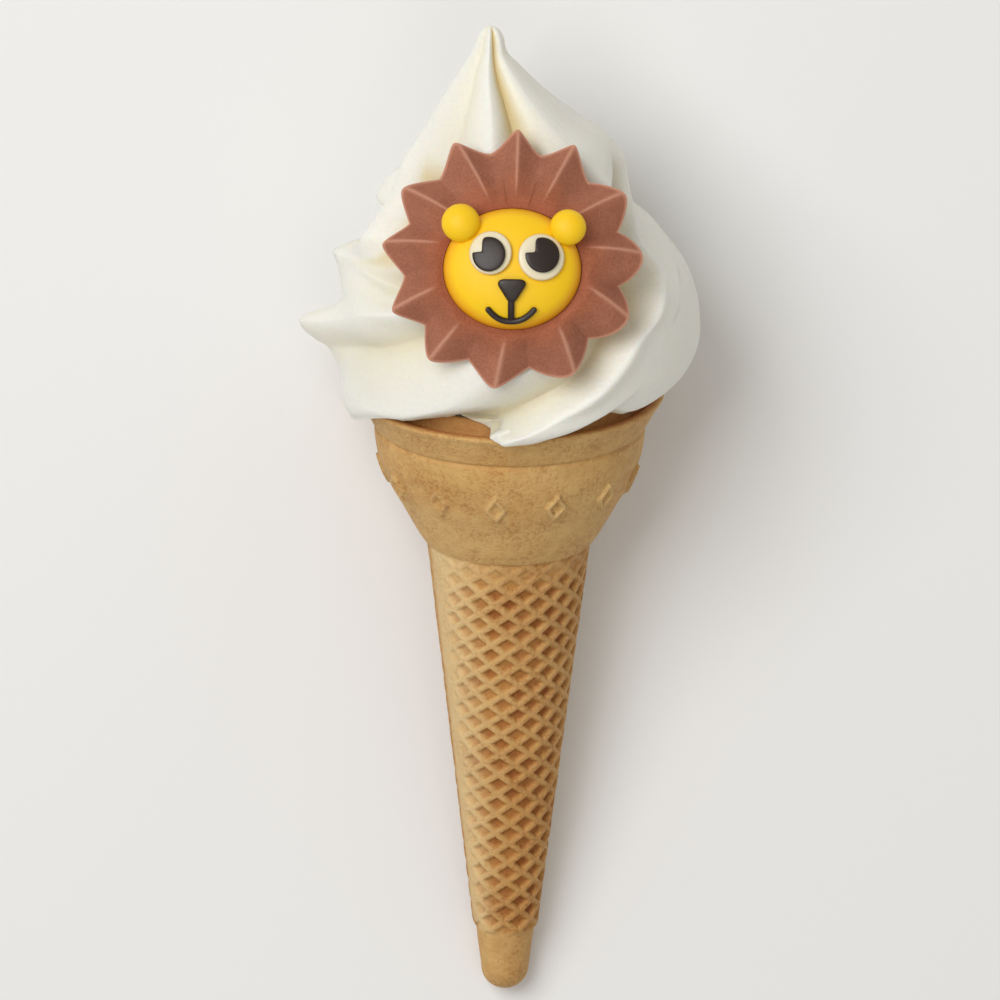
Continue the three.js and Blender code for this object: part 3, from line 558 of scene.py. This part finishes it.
# ---- soft serve swirl ----
swirl = {
    "peakZ": 72.4, "peakLean": -4.2, "leanFrom": 44.0, "leanTo": 66.0,
    # the six crests: turn below the peak, then the twist that each adds at some
    # heights, all winding back together as they come down
    "finTurns": [-85, 0, 60, 100, 165, 225],
    "windZ": [-3.4, 0.6, 2.3, 7, 10.6, 15.2, 19.4, 22, 25.7, 27.7, 32.3, 38.6, 50, 75],
    "wind": [104, 100, 93, 78, 70, 61, 52, 43, 34, 26, 20, 11, 0, 0],
    "twistZ": [
        [8, 14, 20, 24, 28, 30, 33, 38, 44, 50, 56],
        [0, 8, 12.8, 19.6, 22.4, 24.2, 30, 40, 50, 60],
        [36, 40, 44, 48, 53],
        [8, 14, 20, 26, 32, 38, 44],
        [0, 75], [0, 75],
    ],
    "twist": [
        [0, 6, 14, 20, 26, 32, 32, 24, 15, 6, 0],
        [-38, -36, -25, -10, -3, 4, -3, -8, -10, -6],
        [-3, -1, 0, -8, -15],
        [0, -1, -5, -7, -6, -4, 0],
        [0, 0], [0, 0],
    ],
    # crest radius on the left and on the right
    "crestZ": [-4, 0, 6, 12, 18, 24, 28, 33, 38.6, 42, 46, 51, 55, 60, 64, 67, 70, 71.7, 72.4],
    "leftRadius": [
        32.4, 32.0, 32, 32, 32, 32, 30.4, 27.8, 23.5, 21.4,
        19.6, 16.4, 13.3, 8.9, 5.7, 3.8, 2.5, 1.5, 0,
    ],
    "rightRadius": [
        34, 34.6, 35.6, 36.1, 35.8, 33.9, 31.1, 27.2, 23.2, 22,
        21.4, 18.1, 13.6, 9, 5.8, 3.2, 2.4, 1.4, 0,
    ],
    "valleyZ": [-4, 0, 3, 6, 9, 14, 20, 26, 32, 40, 50, 60, 75],
    "valleyShare": [0.68, 0.66, 0.74, 0.82, 0.85, 0.87, 0.87, 0.8, 0.73, 0.7, 0.66, 0.62, 0.6],
    "topDepth": [0.6, 1.1, 0.12, 1, 1, 1],  # of each valley near the peak, over the rest
    # where each valley lies between its two crests, low to high
    "placeZ": [7, 11, 15, 21, 27, 35, 46, 60],
    "places": [
        [0.72, 0.72, 0.72, 0.72, 0.72, 0.5, 0.5, 0.57],
        [0.22, 0.3, 0.42, 0.5, 0.5, 0.4, 0.33, 0.42],
        [0.62, 0.74, 0.8, 0.86, 0.88, 0.84, 0.7, 0.6],
        [0.72] * 8, [0.72] * 8, [0.72] * 8,
    ],
    "crestRound": 1.5, "valleyRound": 1.35,
    "edgeZ": 2.6, "edgeReach": 3.4, "edgeDepth": 0.07,  # height, and of its curl
    # of the lower edge: turn, spread, height
    "edgeSwells": [(-92, 36, -8.0), (-30, 8, 1.2), (5, 13, -2.9), (-3.5, 5, -1.2), (34, 8, 2.7)],
    # clear of the rim where it hangs lower than this, else over the collar
    "hangBelow": 1.1, "hangClear": 1.0, "seatClear": 1.3, "seatReach": 0.4,
    "roundTurn": 95, "roundSpread": 42, "roundHeight": 6.3, "roundDepth": 0.17,
    # the hollow before the fourth crest is also where the painted valley shade is deepest
    "hollow": (29, 9, 0.2),  # before the fourth crest: height, spread, more depth
    # rounded swellings: turn, spread, height, spread, reach
    "swellings": [(-112, 12, 37.2, 4.7, 6.8)],
    "filled": [(-92, 34, 0, 9), (-84, 28, 21, 6), (-106, 18, 9.5, 4.5)],  # where the valleys are full
    # height, radius, how much further it reaches at the side, and that side's turn
    "fold": (26.8, 29.4, 6.2, -94),
    # the second crest's tip: turn, spread, reach, and how far it runs above and below
    "tip": (-97, 14, 8.4, 4.6, 8.8),
    # along crests: crest, rise, spread, lowest and highest place
    "beads": [(0, 2.0, 5.0, 31, 50), (2, 0.9, 4.0, 40, 47), (3, 1.3, 5.0, 7, 28)],
    "dip": (32.5, 4.5, 0.1),  # of the fourth crest: height, spread, share of the radius
    "plugBottom": -11.0,
    "perFin": 60, "heights": 262,
}
sugarFace = {
    "x": 0.2, "front": 26.7, "z": 34.85, "lean": 25.0,
    "back": -2.6, "floor": 0.4, "gap": 0.3,
}


def finTurn(fin, z):
    own = np.array(swirl["finTurns"])[fin % 6] + 360 * (fin // 6)
    twist = np.zeros(np.broadcast(fin, z).shape)
    for i, (knots, values) in enumerate(zip(swirl["twistZ"], swirl["twist"])):
        twist = np.where(fin % 6 == i, blend(knots, values, z), twist)
    return own - blend(swirl["windZ"], swirl["wind"], z) + twist


def swirlTurn(fin, share, z):
    low = finTurn(fin, z)
    return low + (finTurn(fin + 1, z) - low) * share


def flute(fin, share, z):
    # falls slowly from one crest to the valley and rises steeply to the next, as
    # (1 - u^crestRound)^valleyRound on both sides, with u = 1 at the valley; the
    # third crest falls off at once where its tail ends over the rim
    place = np.zeros(np.broadcast(fin, z).shape)
    for i, places in enumerate(swirl["places"]):
        place = np.where(fin % 6 == i, blend(swirl["placeZ"], places, z), place)
    u = np.where(share < place, share / place, (1 - share) / (1 - place))
    tail = np.where((fin % 6 == 2) & (share < place), 1 - smooth(z, 1.5, 7.5), 0)
    return (1 - np.clip(u, 0, 1) ** swirl["crestRound"]) ** (swirl["valleyRound"] + 4 * tail)


def spot(turn, z, place):
    # a rounded swelling about one turn and height, with a flat top
    middle, spread, height, heightSpread, reach = place
    return reach * bell(turnsApart(turn, middle), spread) * bell((z - height) ** 2, heightSpread**2)


def swirlRadius(fin, share, turn, z):
    # between the crest and valley radii by the flute's height, plus the tip that is
    # pulled out at the side, the swelling and the fold above it
    right = 0.5 + 0.5 * np.sin(np.radians(turn))
    crest = blend(swirl["crestZ"], swirl["leftRadius"], z)
    crest = crest + right * (blend(swirl["crestZ"], swirl["rightRadius"], z) - crest)
    dipZ, dipSpread, dip = swirl["dip"]
    before = np.where(fin % 6 == 2, smooth(share, 0.6, 1), 0)
    dipped = np.where(fin % 6 == 3, 1 - smooth(share, 0, 0.35), before)
    crest = crest * (1 - dip * bell(z - dipZ, dipSpread) * dipped)
    deep = blend(swirl["valleyZ"], swirl["valleyShare"], z)
    topDepth = 1 + (np.array(swirl["topDepth"])[fin % 6] - 1) * smooth(z, 38, 50)
    full = np.where(fin % 6 == 3, 0.92 * smooth(-z, -40, -32), 0)
    full = np.maximum(full, 0.95 * bell(turnsApart(turn, 180), 30) * bell(z - 9, 11))
    for middle, spread, height, heightSpread in swirl["filled"]:
        full = np.maximum(full, bell(turnsApart(turn, middle), spread) * bell(z - height, heightSpread))
    height = flute(fin, share, z)
    hollowZ, hollowSpread, more = swirl["hollow"]
    deep = deep - np.where(fin % 6 == 2, more * bell(z - hollowZ, hollowSpread), 0)
    depth = (1 - deep) * topDepth * (1 - full)
    radius = crest * (1 - depth * (1 - height))
    for bead, rise, spread, bottom, top in swirl["beads"]:
        past = turnsApart(turn, finTurn(np.full(turn.shape, bead), z))
        along = smooth(z, bottom - 3, bottom + 3) * (1 - smooth(z, top - 4, top + 4))
        radius = radius + rise * bell(past, spread) * along
    for place in swirl["swellings"]:
        swell = spot(turn, z, place)
        radius = radius + swell
        height = np.maximum(height, smooth(swell, 0, 2))
    turnTip, spreadTip, reachTip, aboveTip, belowTip = swirl["tip"]
    # millimetres over the second crest, whose turn falls as it comes down
    over = turnsApart(turn, finTurn(np.full(turn.shape, 1), z)) * 0.19
    thinning = np.where(over < 0, smooth(-over, 0.9, aboveTip), smooth(over, 0, belowTip))
    radius = radius + reachTip * bell(turnsApart(turn, turnTip), spreadTip) * (1 - thinning)
    # the fold falls off steeply above its height and gently below it, and the
    # greater of the two radii counts, with the corner between them rounded
    foldZ, foldRadius, foldReach, foldTurn = swirl["fold"]
    fold = foldRadius + foldReach * bell(turnsApart(turn, foldTurn), 8)
    steep = 3.8 - 1.2 * bell(turnsApart(turn, foldTurn), 12)
    away = np.sqrt((z - foldZ) ** 2 + 0.3) - 0.55
    outside = 40 * (1 - bell(turnsApart(turn, -66), 34)) ** 4
    fold = fold - np.where(z > foldZ, steep, 0.5) * away - outside
    radius = 0.5 * (radius + fold + np.sqrt((radius - fold) ** 2 + 2.0))
    # painted shade: how much darker and yellower the valleys are, in place of the shade and warm
    # bounced light in the folds; most in the hollow and beside the front groove
    plain = -0.75 * (1 - smooth(z, 20, 30))
    deepest = np.where(fin % 6 == 1, smooth(z, 44, 54), plain)
    deepest = np.where(fin % 6 == 2, bell(z - hollowZ, hollowSpread), deepest)
    hollow = (1 - height) * (1 - full) * np.minimum(topDepth, 1) * (0.65 + 0.45 * deepest)
    pastRope = turnsApart(turn, finTurn(np.full(turn.shape, 0), z))
    beside = smooth(pastRope, 5, 14) * (1 - smooth(pastRope, 20, 40))
    beside = beside * smooth(z, 25, 31) * (1 - smooth(z, 44, 52))
    hollow = np.clip(np.maximum(hollow, 0.85 * beside), 0, 1)
    return radius, hollow


def roundEdge(radius, turn, z, low):
    # the last stretch above the lower edge curls in like a quarter of an ellipse
    side = bell(turnsApart(turn, swirl["roundTurn"]), swirl["roundSpread"])
    reach = swirl["edgeReach"] + swirl["roundHeight"] * side
    u = np.clip(1 - (z - low) / reach, 0, 1)
    depth = swirl["edgeDepth"] + swirl["roundDepth"] * side
    return radius * (1 - depth * (1 - np.sqrt(1 - u * u)))


def clearance(turn, radius, z):
    # the floor behind and the plane behind the sugar face cut the radius back
    forward = np.cos(np.radians(turn))
    lean = math.radians(sugarFace["lean"])
    toPlane = sugarFace["front"] * math.cos(lean) + sugarFace["z"] * math.sin(lean)
    toPlane += sugarFace["back"] - sugarFace["gap"]
    plane = (toPlane - z * math.sin(lean)) / (np.maximum(forward, 1e-3) * math.cos(lean))
    radius = np.where(forward > 1e-3, np.minimum(radius, plane), radius)
    return aboveFloor(turn, radius, z)


def lowerEdge(turn):
    z = swirl["edgeZ"]
    for middle, spread, height in swirl["edgeSwells"]:
        z = z + height * bell(turnsApart(turn, middle), spread)
    return z


def overRim(radius, z, low):
    # the foot stands on the collar or stays outside it, and outside the wall where
    # it hangs over the rim
    inward = swirl["seatClear"] - swirl["seatReach"]
    inward = inward * smooth(low, cup["collarTop"], cup["collarTop"] + 0.4)
    seat = cup["collarRadius"] + swirl["seatClear"] - inward
    seat = seat * (1 - smooth(z, swirl["edgeZ"], swirl["edgeZ"] + 3))
    hanging = 1 - smooth(low, swirl["hangBelow"] - 0.4, swirl["hangBelow"])
    outside = (cup["rimRadius"] + swirl["hangClear"]) * hanging
    outside = outside * (1 - smooth(z, swirl["edgeZ"] - 0.4, swirl["edgeZ"] + 2.6))
    return np.maximum(radius, np.maximum(outside, seat))


def makeSwirl():
    column = np.arange(6 * swirl["perFin"])
    fin, share = column // swirl["perFin"], (column % swirl["perFin"]) / swirl["perFin"]
    low = np.zeros(len(column))
    for _ in range(30):
        turn = swirlTurn(fin, share, low)
        low = low + 0.35 * (lowerEdge(turn) - low)
    edgeRadius, _ = swirlRadius(fin, share, turn, low)
    edgeRadius = clearance(turn, overRim(roundEdge(edgeRadius, turn, low, low), low, low), low)
    # the underside: level over the collar, then down over the rim to the edge
    beyondRim = cup["rimRadius"] + sugarFace["gap"]
    over = np.minimum(edgeRadius - 0.6, beyondRim)
    above = cup["collarTop"] + sugarFace["gap"]
    pastCollar = cup["collarRadius"] + 1.9
    down = (above - 0.4) * np.clip((over - pastCollar) / (beyondRim - pastCollar), 0, 1)
    under = [
        (cup["wellRadius"] - 2.8, swirl["plugBottom"]),
        (cup["wellRadius"] - 0.5, -1.5),
        (cup["wellRadius"] - 0.3, above),
        (np.minimum(over, pastCollar), above),
        (over, np.maximum(above - down, low - 0.6)),
    ]
    rings = [around(turn, radius + 0 * turn, z + 0 * turn) for radius, z in under]
    # the underside gets painted shade as well
    hollows = [np.full(len(column), 0.6) for _ in under]
    rise = np.linspace(0, 1, swirl["heights"] + 1)[:-1, None] ** 1.3
    z = low + (swirl["peakZ"] - low) * rise
    turn = swirlTurn(fin[None, :], share[None, :], z)
    radius, hollow = swirlRadius(fin[None, :], share[None, :], turn, z)
    radius = clearance(turn, overRim(roundEdge(radius, turn, z, low), z, low), z)
    shift = swirl["peakLean"] * smooth(z, swirl["leanFrom"], swirl["leanTo"])
    rings = np.concatenate([np.stack(rings), around(turn, radius, z, shift)])
    hollow = np.concatenate([np.stack(hollows), hollow])
    first = layDown(np.array([0, 0, swirl["plugBottom"]]))
    last = layDown(np.array([swirl["peakLean"], 0, swirl["peakZ"]]))
    piece = surfaceMesh("softServe", layDown(rings), first, last, {"hollow": hollow})
    return dress(piece, "ice_cream_swirl", cream)


makeSwirl()
print("swirl made")

# ---- sugar face, in its own frame: right, up the disc, out of the disc ----
def fromDisc(points):
    lean = math.radians(90 - sugarFace["lean"])
    x, y, z = points[..., 0], points[..., 1], points[..., 2]
    return layDown(np.stack([
        x + sugarFace["x"],
        y * math.cos(lean) - z * math.sin(lean) - sugarFace["front"],
        y * math.sin(lean) + z * math.cos(lean) + sugarFace["z"],
    ], axis=-1))


head = {
    "width": 12.9, "height": 11.4, "down": -1.9,
    "side": 0.8, "rise": 6.2, "power": 0.4,
    "columns": 160, "rows": 60,
}


def headReach(angle, margin):
    # from the disc's centre to an ellipse about (0, down), grown by the margin
    width, height = head["width"] + margin, head["height"] + margin
    a = (np.cos(angle) / width) ** 2 + (np.sin(angle) / height) ** 2
    b = -np.sin(angle) * head["down"] / height**2
    c = (head["down"] / height) ** 2 - 1
    return (-b + np.sqrt(b * b - a * c)) / a


def headSurface(x, y):
    # side + rise (1 - s^2)^power above the mane's floor, where s runs to 1 at the rim
    across = np.minimum(1, (x / head["width"]) ** 2 + ((y - head["down"]) / head["height"]) ** 2)
    foot = sugarFace["floor"] + sugarFace["gap"]
    return foot + head["side"] + head["rise"] * (1 - across) ** head["power"]


def makeHead():
    angle = np.linspace(0, 2 * math.pi, head["columns"], endpoint=False)[None, :]
    bend = np.linspace(0, math.pi / 2, head["rows"])[:-1, None]
    share = np.concatenate([[[0.94], [0.97], [0.99], [0.998]], np.cos(bend)])
    x = head["width"] * share * np.cos(angle)
    y = head["down"] + head["height"] * share * np.sin(angle)
    z = headSurface(x, y)
    foot = sugarFace["floor"] + sugarFace["gap"]
    z[:4] = foot + np.array([[0], [0.06], [0.25], [0.5]])
    middle = np.array([0, head["down"], foot])
    top = np.array([0, head["down"], foot + head["side"] + head["rise"]])
    # painted shade towards the head's rim
    side = share**3 + 0 * angle
    rings = fromDisc(np.stack([x, y, z], axis=-1))
    piece = surfaceMesh("head", rings, fromDisc(middle), fromDisc(top), {"side": side})
    return dress(piece, "head", yellowPaste)


mane = {
    "up": 0.12, "tip": 24.5, "valley": 20.5,
    "spikes": [-243, -212, -186, -156, -129, -98, -63, -28, 1, 30, 62, 88],
    "round": [0.1, 0.45, 0.3, 0.2, 0.5, 0.3, 0.8, 1, 1, 0.7, 0.1, 0],  # 0 is a pointed petal
    "blunt": [0.1, 0.14, 0.12, 0.12, 0.14, 0.14, 0.08, 0.06, 0.06, 0.08, 0.1, 0.1],
    "veer": [-7, -6, -7, -3, 0, 3, 9, 9, 10, 7, 0, -1],  # of each crest line, beside the head
    "edge": 0.9,
    "shares": [0, 0.2, 0.6, 1], "crests": [2.1, 2.7, 1.9, 0.1],
    "fluteDepth": 1.5,
    "threads": [(10, 0.48), (11, 0.42)],  # two thin ridges in the uppermost scoops
    "perSpike": 54, "rows": 64,
}


def betweenSpikes(angle, values=None):
    # the place of an angle among the spikes, as the number of the spike plus the
    # way to the next one, or the values of the two spikes mixed over that way
    spikes = mane["spikes"]
    knots = [spikes[-1] - 360] + spikes + [spikes[0] + 360]
    if values is None:
        return np.interp(angle, knots, np.arange(-1, 13)) % 12
    return np.interp(angle, knots, [values[-1]] + values + [values[0]])


def maneOutline(angle):
    # from the tip radius to the valley radius by the way t to the valley: a pointed
    # petal falls off as 1 - (1 - t)^1.7, a round one as t^1.5
    between = betweenSpikes(angle) % 1
    nearest = np.round(betweenSpikes(angle)).astype(int) % 12
    way = 1 - np.abs(2 * between - 1)
    blunt = np.array(mane["blunt"])[nearest]
    fromTip = (np.sqrt(way**2 + blunt**2) - blunt) / (np.sqrt(1 + blunt**2) - blunt)
    fromTip = np.clip(fromTip, 0, 1)
    roundness = np.array(mane["round"])[nearest]
    share = (1 - roundness) * (1 - fromTip) ** 1.7 + roundness * (1 - fromTip**1.5)
    return mane["valley"] + (mane["tip"] - mane["valley"]) * share


def maneHeight(angle, share):
    # scoops of the shape 4 b (1 - b) run outward between two crest lines, which veer
    # off near the head
    veer = betweenSpikes(angle, mane["veer"]) * (1 - 0.75 * share)
    place = betweenSpikes((angle - veer + 243) % 360 - 243)
    spike, between = np.floor(place), place % 1
    scoop = mane["fluteDepth"] * (4 * between * (1 - between)) ** 1.25 * smooth(share, 0, 0.7)
    height = blend(mane["shares"], mane["crests"], share) - scoop
    for number, middle in mane["threads"]:
        thread = (spike == number) * bell(between - middle, 0.045)
        height = height + 0.3 * thread * smooth(share, 0.02, 0.15) * smooth(-share, -0.62, -0.4)
    return height, np.minimum(between, 1 - between)


def makeMane():
    # underside, edge, then the top from the rim to the head and down to the floor
    angle = np.linspace(-243, 117, 12 * mane["perSpike"], endpoint=False)[None, :]
    rad = np.radians(angle)
    inner = headReach(rad, 0.1)
    outline = maneOutline(angle)
    share = np.concatenate([
        [0.25, 0.5, 0.75, 0.95, 0.985, 0.998],
        1 - np.linspace(0, 1, mane["rows"]) ** 1.3,
        [0, -0.002],
    ])[:, None]
    z, nearCrest = maneHeight(angle, np.clip(share, 0, 1))
    edge = maneHeight(angle, np.array([[0.98]]))[0] - mane["edge"]
    z[0] = sugarFace["back"]
    z[1] = sugarFace["back"] + 0.2 * (edge - sugarFace["back"])
    z[2] = sugarFace["back"] + 0.6 * (edge - sugarFace["back"])
    z[3] = edge
    z[4] = edge + 0.12
    z[5] = edge + 0.5 * mane["edge"]
    z[-1] = sugarFace["floor"]
    radius = inner + (outline - inner) * share
    up = mane["up"] * smooth(share, 0, 1)
    points = np.stack([radius * np.cos(rad), radius * np.sin(rad) + up, z], axis=-1)
    # where the edge mark lightens the paste: dusty edges together with a painted highlight on the crest
    # lines and rim
    rim = np.maximum(smooth(share, 0.93, 1.0), 0.8 * bell(nearCrest, 0.035) * smooth(share, 0.1, 0.4))
    low = fromDisc(np.array([0, 0, sugarFace["back"]]))
    high = fromDisc(np.array([0, 0, sugarFace["floor"]]))
    marks = {"edge": rim, "outward": np.clip(share, 0, 1)}
    piece = surfaceMesh("mane", fromDisc(points), low, high, marks)
    return dress(piece, "mane", brownPaste)


ears = {
    "ear_left": (-9.7, 6.3, 3.6),
    "ear_right": (10.35, 5.6, 3.4),
    "centre": 5.8, "flat": 0.78, "columns": 72, "rows": 36,
}


def makeEar(name):
    # a ball flattened along the disc's own axis
    x, y, radius = ears[name]
    angle = np.linspace(0, 2 * math.pi, ears["columns"], endpoint=False)[None, :]
    tilt = np.linspace(-math.pi / 2, math.pi / 2, ears["rows"] + 1)[1:-1, None]
    points = np.stack([
        x + radius * np.cos(tilt) * np.cos(angle),
        y + radius * np.cos(tilt) * np.sin(angle),
        ears["centre"] + radius * ears["flat"] * np.sin(tilt) + 0 * angle,
    ], axis=-1)
    low = np.array([x, y, ears["centre"] - radius * ears["flat"]])
    high = np.array([x, y, ears["centre"] + radius * ears["flat"]])
    # painted shade on the ear's rim and its back side
    side = np.cos(tilt) ** 4 * smooth(-np.sin(tilt), -0.8, 0.5) + 0 * angle
    piece = surfaceMesh(name, fromDisc(points), fromDisc(low), fromDisc(high), {"side": side})
    return dress(piece, name, yellowPaste)


def makePad(name, place, lift, rise, outlineAt):
    # a thin pad that follows the head, with rounded edges and a slight crown
    x, y, width, height = place
    angle = np.linspace(0, 2 * math.pi, 120, endpoint=False)[None, :]
    profile = np.array([
        (0.95, 0), (0.985, 0.1), (1, 0.3), (0.995, 0.5), (0.975, 0.68), (0.94, 0.79),
        (0.88, 0.87), (0.78, 0.92), (0.6, 0.96), (0.4, 0.98), (0.2, 1.0),
    ])
    share, thick = profile[:, :1], profile[:, 1:]
    outline = outlineAt(angle)
    px = x + width * share * outline * np.cos(angle)
    py = y + height * share * outline * np.sin(angle)
    points = np.stack([px, py, headSurface(px, py) + lift + rise * thick], axis=-1)
    low = np.array([x, y, headSurface(x, y) + lift])
    high = np.array([x, y, headSurface(x, y) + lift + rise])
    # painted shade towards the pad's edge
    side = share**6 + 0 * angle
    piece = surfaceMesh(name, fromDisc(points), fromDisc(low), fromDisc(high), {"side": side})
    return piece


eyes = {
    "eye_white_left": (-4.1, 0.5, 4.0, 4.15), "eye_white_right": (5.4, -0.2, 4.35, 4.45),
    "pupil_left": (-4.4, 0.15, 3.1, 3.3), "pupil_right": (5.6, 0.1, 3.2, 3.35),
    "whiteRise": 0.9, "pupilRise": 0.6,
    "notchX": 0.42, "notchY": 0.12,  # the notch's corner, as shares of the pupil
}


def pupilOutline(angle):
    # a circle without the quarter plane up and left of the notch's corner
    up, left = np.maximum(np.sin(angle), 1e-3), np.maximum(-np.cos(angle), 1e-3)
    notch = ((eyes["notchX"] / left) ** 4 + (eyes["notchY"] / up) ** 4) ** 0.25
    return (1 + notch ** -7) ** (-1 / 7)


def roundOutline(angle):
    return 1 + 0 * angle


def makeEyes():
    gap = sugarFace["gap"]
    for side in ("left", "right"):
        name = "eye_white_" + side
        piece = makePad(name, eyes[name], gap, eyes["whiteRise"], roundOutline)
        dress(piece, name, creamIcing)
        name = "pupil_" + side
        piece = makePad(name, eyes[name], 2 * gap + eyes["whiteRise"], eyes["pupilRise"], pupilOutline)
        dress(piece, name, darkIcing)


muzzle = {
    "nose": (-0.05, -6.2, 1.0, 1.0),
    "noseTop": 1.75, "noseSide": 1.9, "noseSideTurn": -33, "nosePower": 2.3, "noseRise": 1.1,
    "stemTop": -7.4, "stemHalfWidth": 0.62, "mouthX": -0.15, "mouthTop": -9.6,
    "mouthHalfWidth": 4.6, "mouthSag": 2.5, "mouthPower": 2.4,
    "halfWidth": 0.58, "rise": 0.8,
}


def noseOutline(angle):
    # a triangle with a level top, its three sides joined by a power mean
    turn = math.radians(muzzle["noseSideTurn"])
    sides = [
        np.sin(angle) / muzzle["noseTop"],
        (np.cos(angle) * math.cos(turn) + np.sin(angle) * math.sin(turn)) / muzzle["noseSide"],
        (-np.cos(angle) * math.cos(turn) + np.sin(angle) * math.sin(turn)) / muzzle["noseSide"],
    ]
    power = muzzle["nosePower"]
    return sum(np.maximum(s, 0) ** power for s in sides) ** (-1 / power)


def makeLine(name, x, y, halfWidth):
    # a round line along the path, rounded off at both ends
    path = np.stack([x, y, headSurface(x, y) + sugarFace["gap"] + 0.5 * muzzle["rise"]], axis=-1)
    along = np.gradient(path[:, :2], axis=0)
    along = along / np.linalg.norm(along, axis=1, keepdims=True)
    steps = np.concatenate([[0], np.cumsum(np.linalg.norm(np.diff(path, axis=0), axis=1))])
    toEnd = np.minimum(steps, steps[-1] - steps)
    swell = np.sqrt(np.clip(1 - (1 - np.minimum(toEnd / halfWidth, 1)) ** 2, 0, 1))[:, None]
    angle = np.linspace(0, 2 * math.pi, 16, endpoint=False)[None, :]
    wide, high = halfWidth * swell * np.cos(angle), 0.5 * muzzle["rise"] * swell * np.sin(angle)
    rings = np.stack([
        path[:, :1] - along[:, 1:] * wide,
        path[:, 1:2] + along[:, :1] * wide,
        path[:, 2:] + high,
    ], axis=-1)
    piece = surfaceMesh(name, fromDisc(rings[1:-1]), fromDisc(path[0]), fromDisc(path[-1]), {"side": 0})
    return dress(piece, "nose_and_mouth", darkIcing)


def makeMuzzle():
    nose = makePad("nose", muzzle["nose"], sugarFace["gap"], muzzle["noseRise"], noseOutline)
    dress(nose, "nose_and_mouth", darkIcing)
    share = np.sin(np.linspace(-math.pi / 2, math.pi / 2, 90))
    y = muzzle["mouthTop"] - muzzle["mouthSag"] * (1 - np.abs(share) ** muzzle["mouthPower"])
    makeLine("smile", muzzle["mouthX"] + muzzle["mouthHalfWidth"] * share, y, muzzle["halfWidth"])
    y = np.linspace(muzzle["stemTop"], muzzle["mouthTop"] - muzzle["mouthSag"], 40)
    makeLine("noseStem", muzzle["mouthX"] + 0 * y, y, muzzle["stemHalfWidth"])


makeMane()
makeHead()
makeEar("ear_left")
makeEar("ear_right")
makeEyes()
makeMuzzle()
print("sugar face made")

# ---- floor and lights ----
light = {
    # power in watts, the way to it from the cone, and its distance in metres
    "lamps": {"key": (10.6, (-0.45, 0.4, 1.0), 1.3), "fill": (2.0, (0.1, -0.3, 1.0), 1.4)},
    "size": 0.8,
    "world": 0.39, "worldColour": (1.0, 0.97, 0.9, 1),
    "floorHalfWidth": 4.0, "floorColour": (0.86, 0.86, 0.86, 1),
}


def makeStudio():
    floorMaterial, _, shader = newMaterial("pale floor", 0.9)
    shader.inputs["Base Color"].default_value = light["floorColour"]
    half = light["floorHalfWidth"]
    corners = [[-half, -half, 0], [half, -half, 0], [half, half, 0], [-half, half, 0]]
    mesh = bpy.data.meshes.new("floor")
    mesh.from_pydata(corners, [], [(0, 1, 2, 3)])
    mesh.materials.append(floorMaterial)
    floor = bpy.data.objects.new("floor", mesh)
    bpy.context.scene.collection.objects.link(floor)
    middle = Vector((0, 0.02, 0.03))
    for name, (power, place, distance) in light["lamps"].items():
        lamp = bpy.data.objects.new(name, bpy.data.lights.new(name, "AREA"))
        bpy.context.scene.collection.objects.link(lamp)
        lamp.data.energy = power
        lamp.data.size = light["size"]
        away = Vector(place).normalized()
        aim = away.to_track_quat("Z", "Y").to_matrix().to_4x4()
        lamp.matrix_world = Matrix.Translation(middle + away * distance) @ aim
    world = bpy.data.worlds.new("studio")
    world.use_nodes = True
    background = world.node_tree.nodes["Background"]
    background.inputs["Color"].default_value = light["worldColour"]
    background.inputs["Strength"].default_value = light["world"]
    bpy.context.scene.world = world
    bpy.context.scene.view_settings.view_transform = "Standard"


makeStudio()
print("studio made")
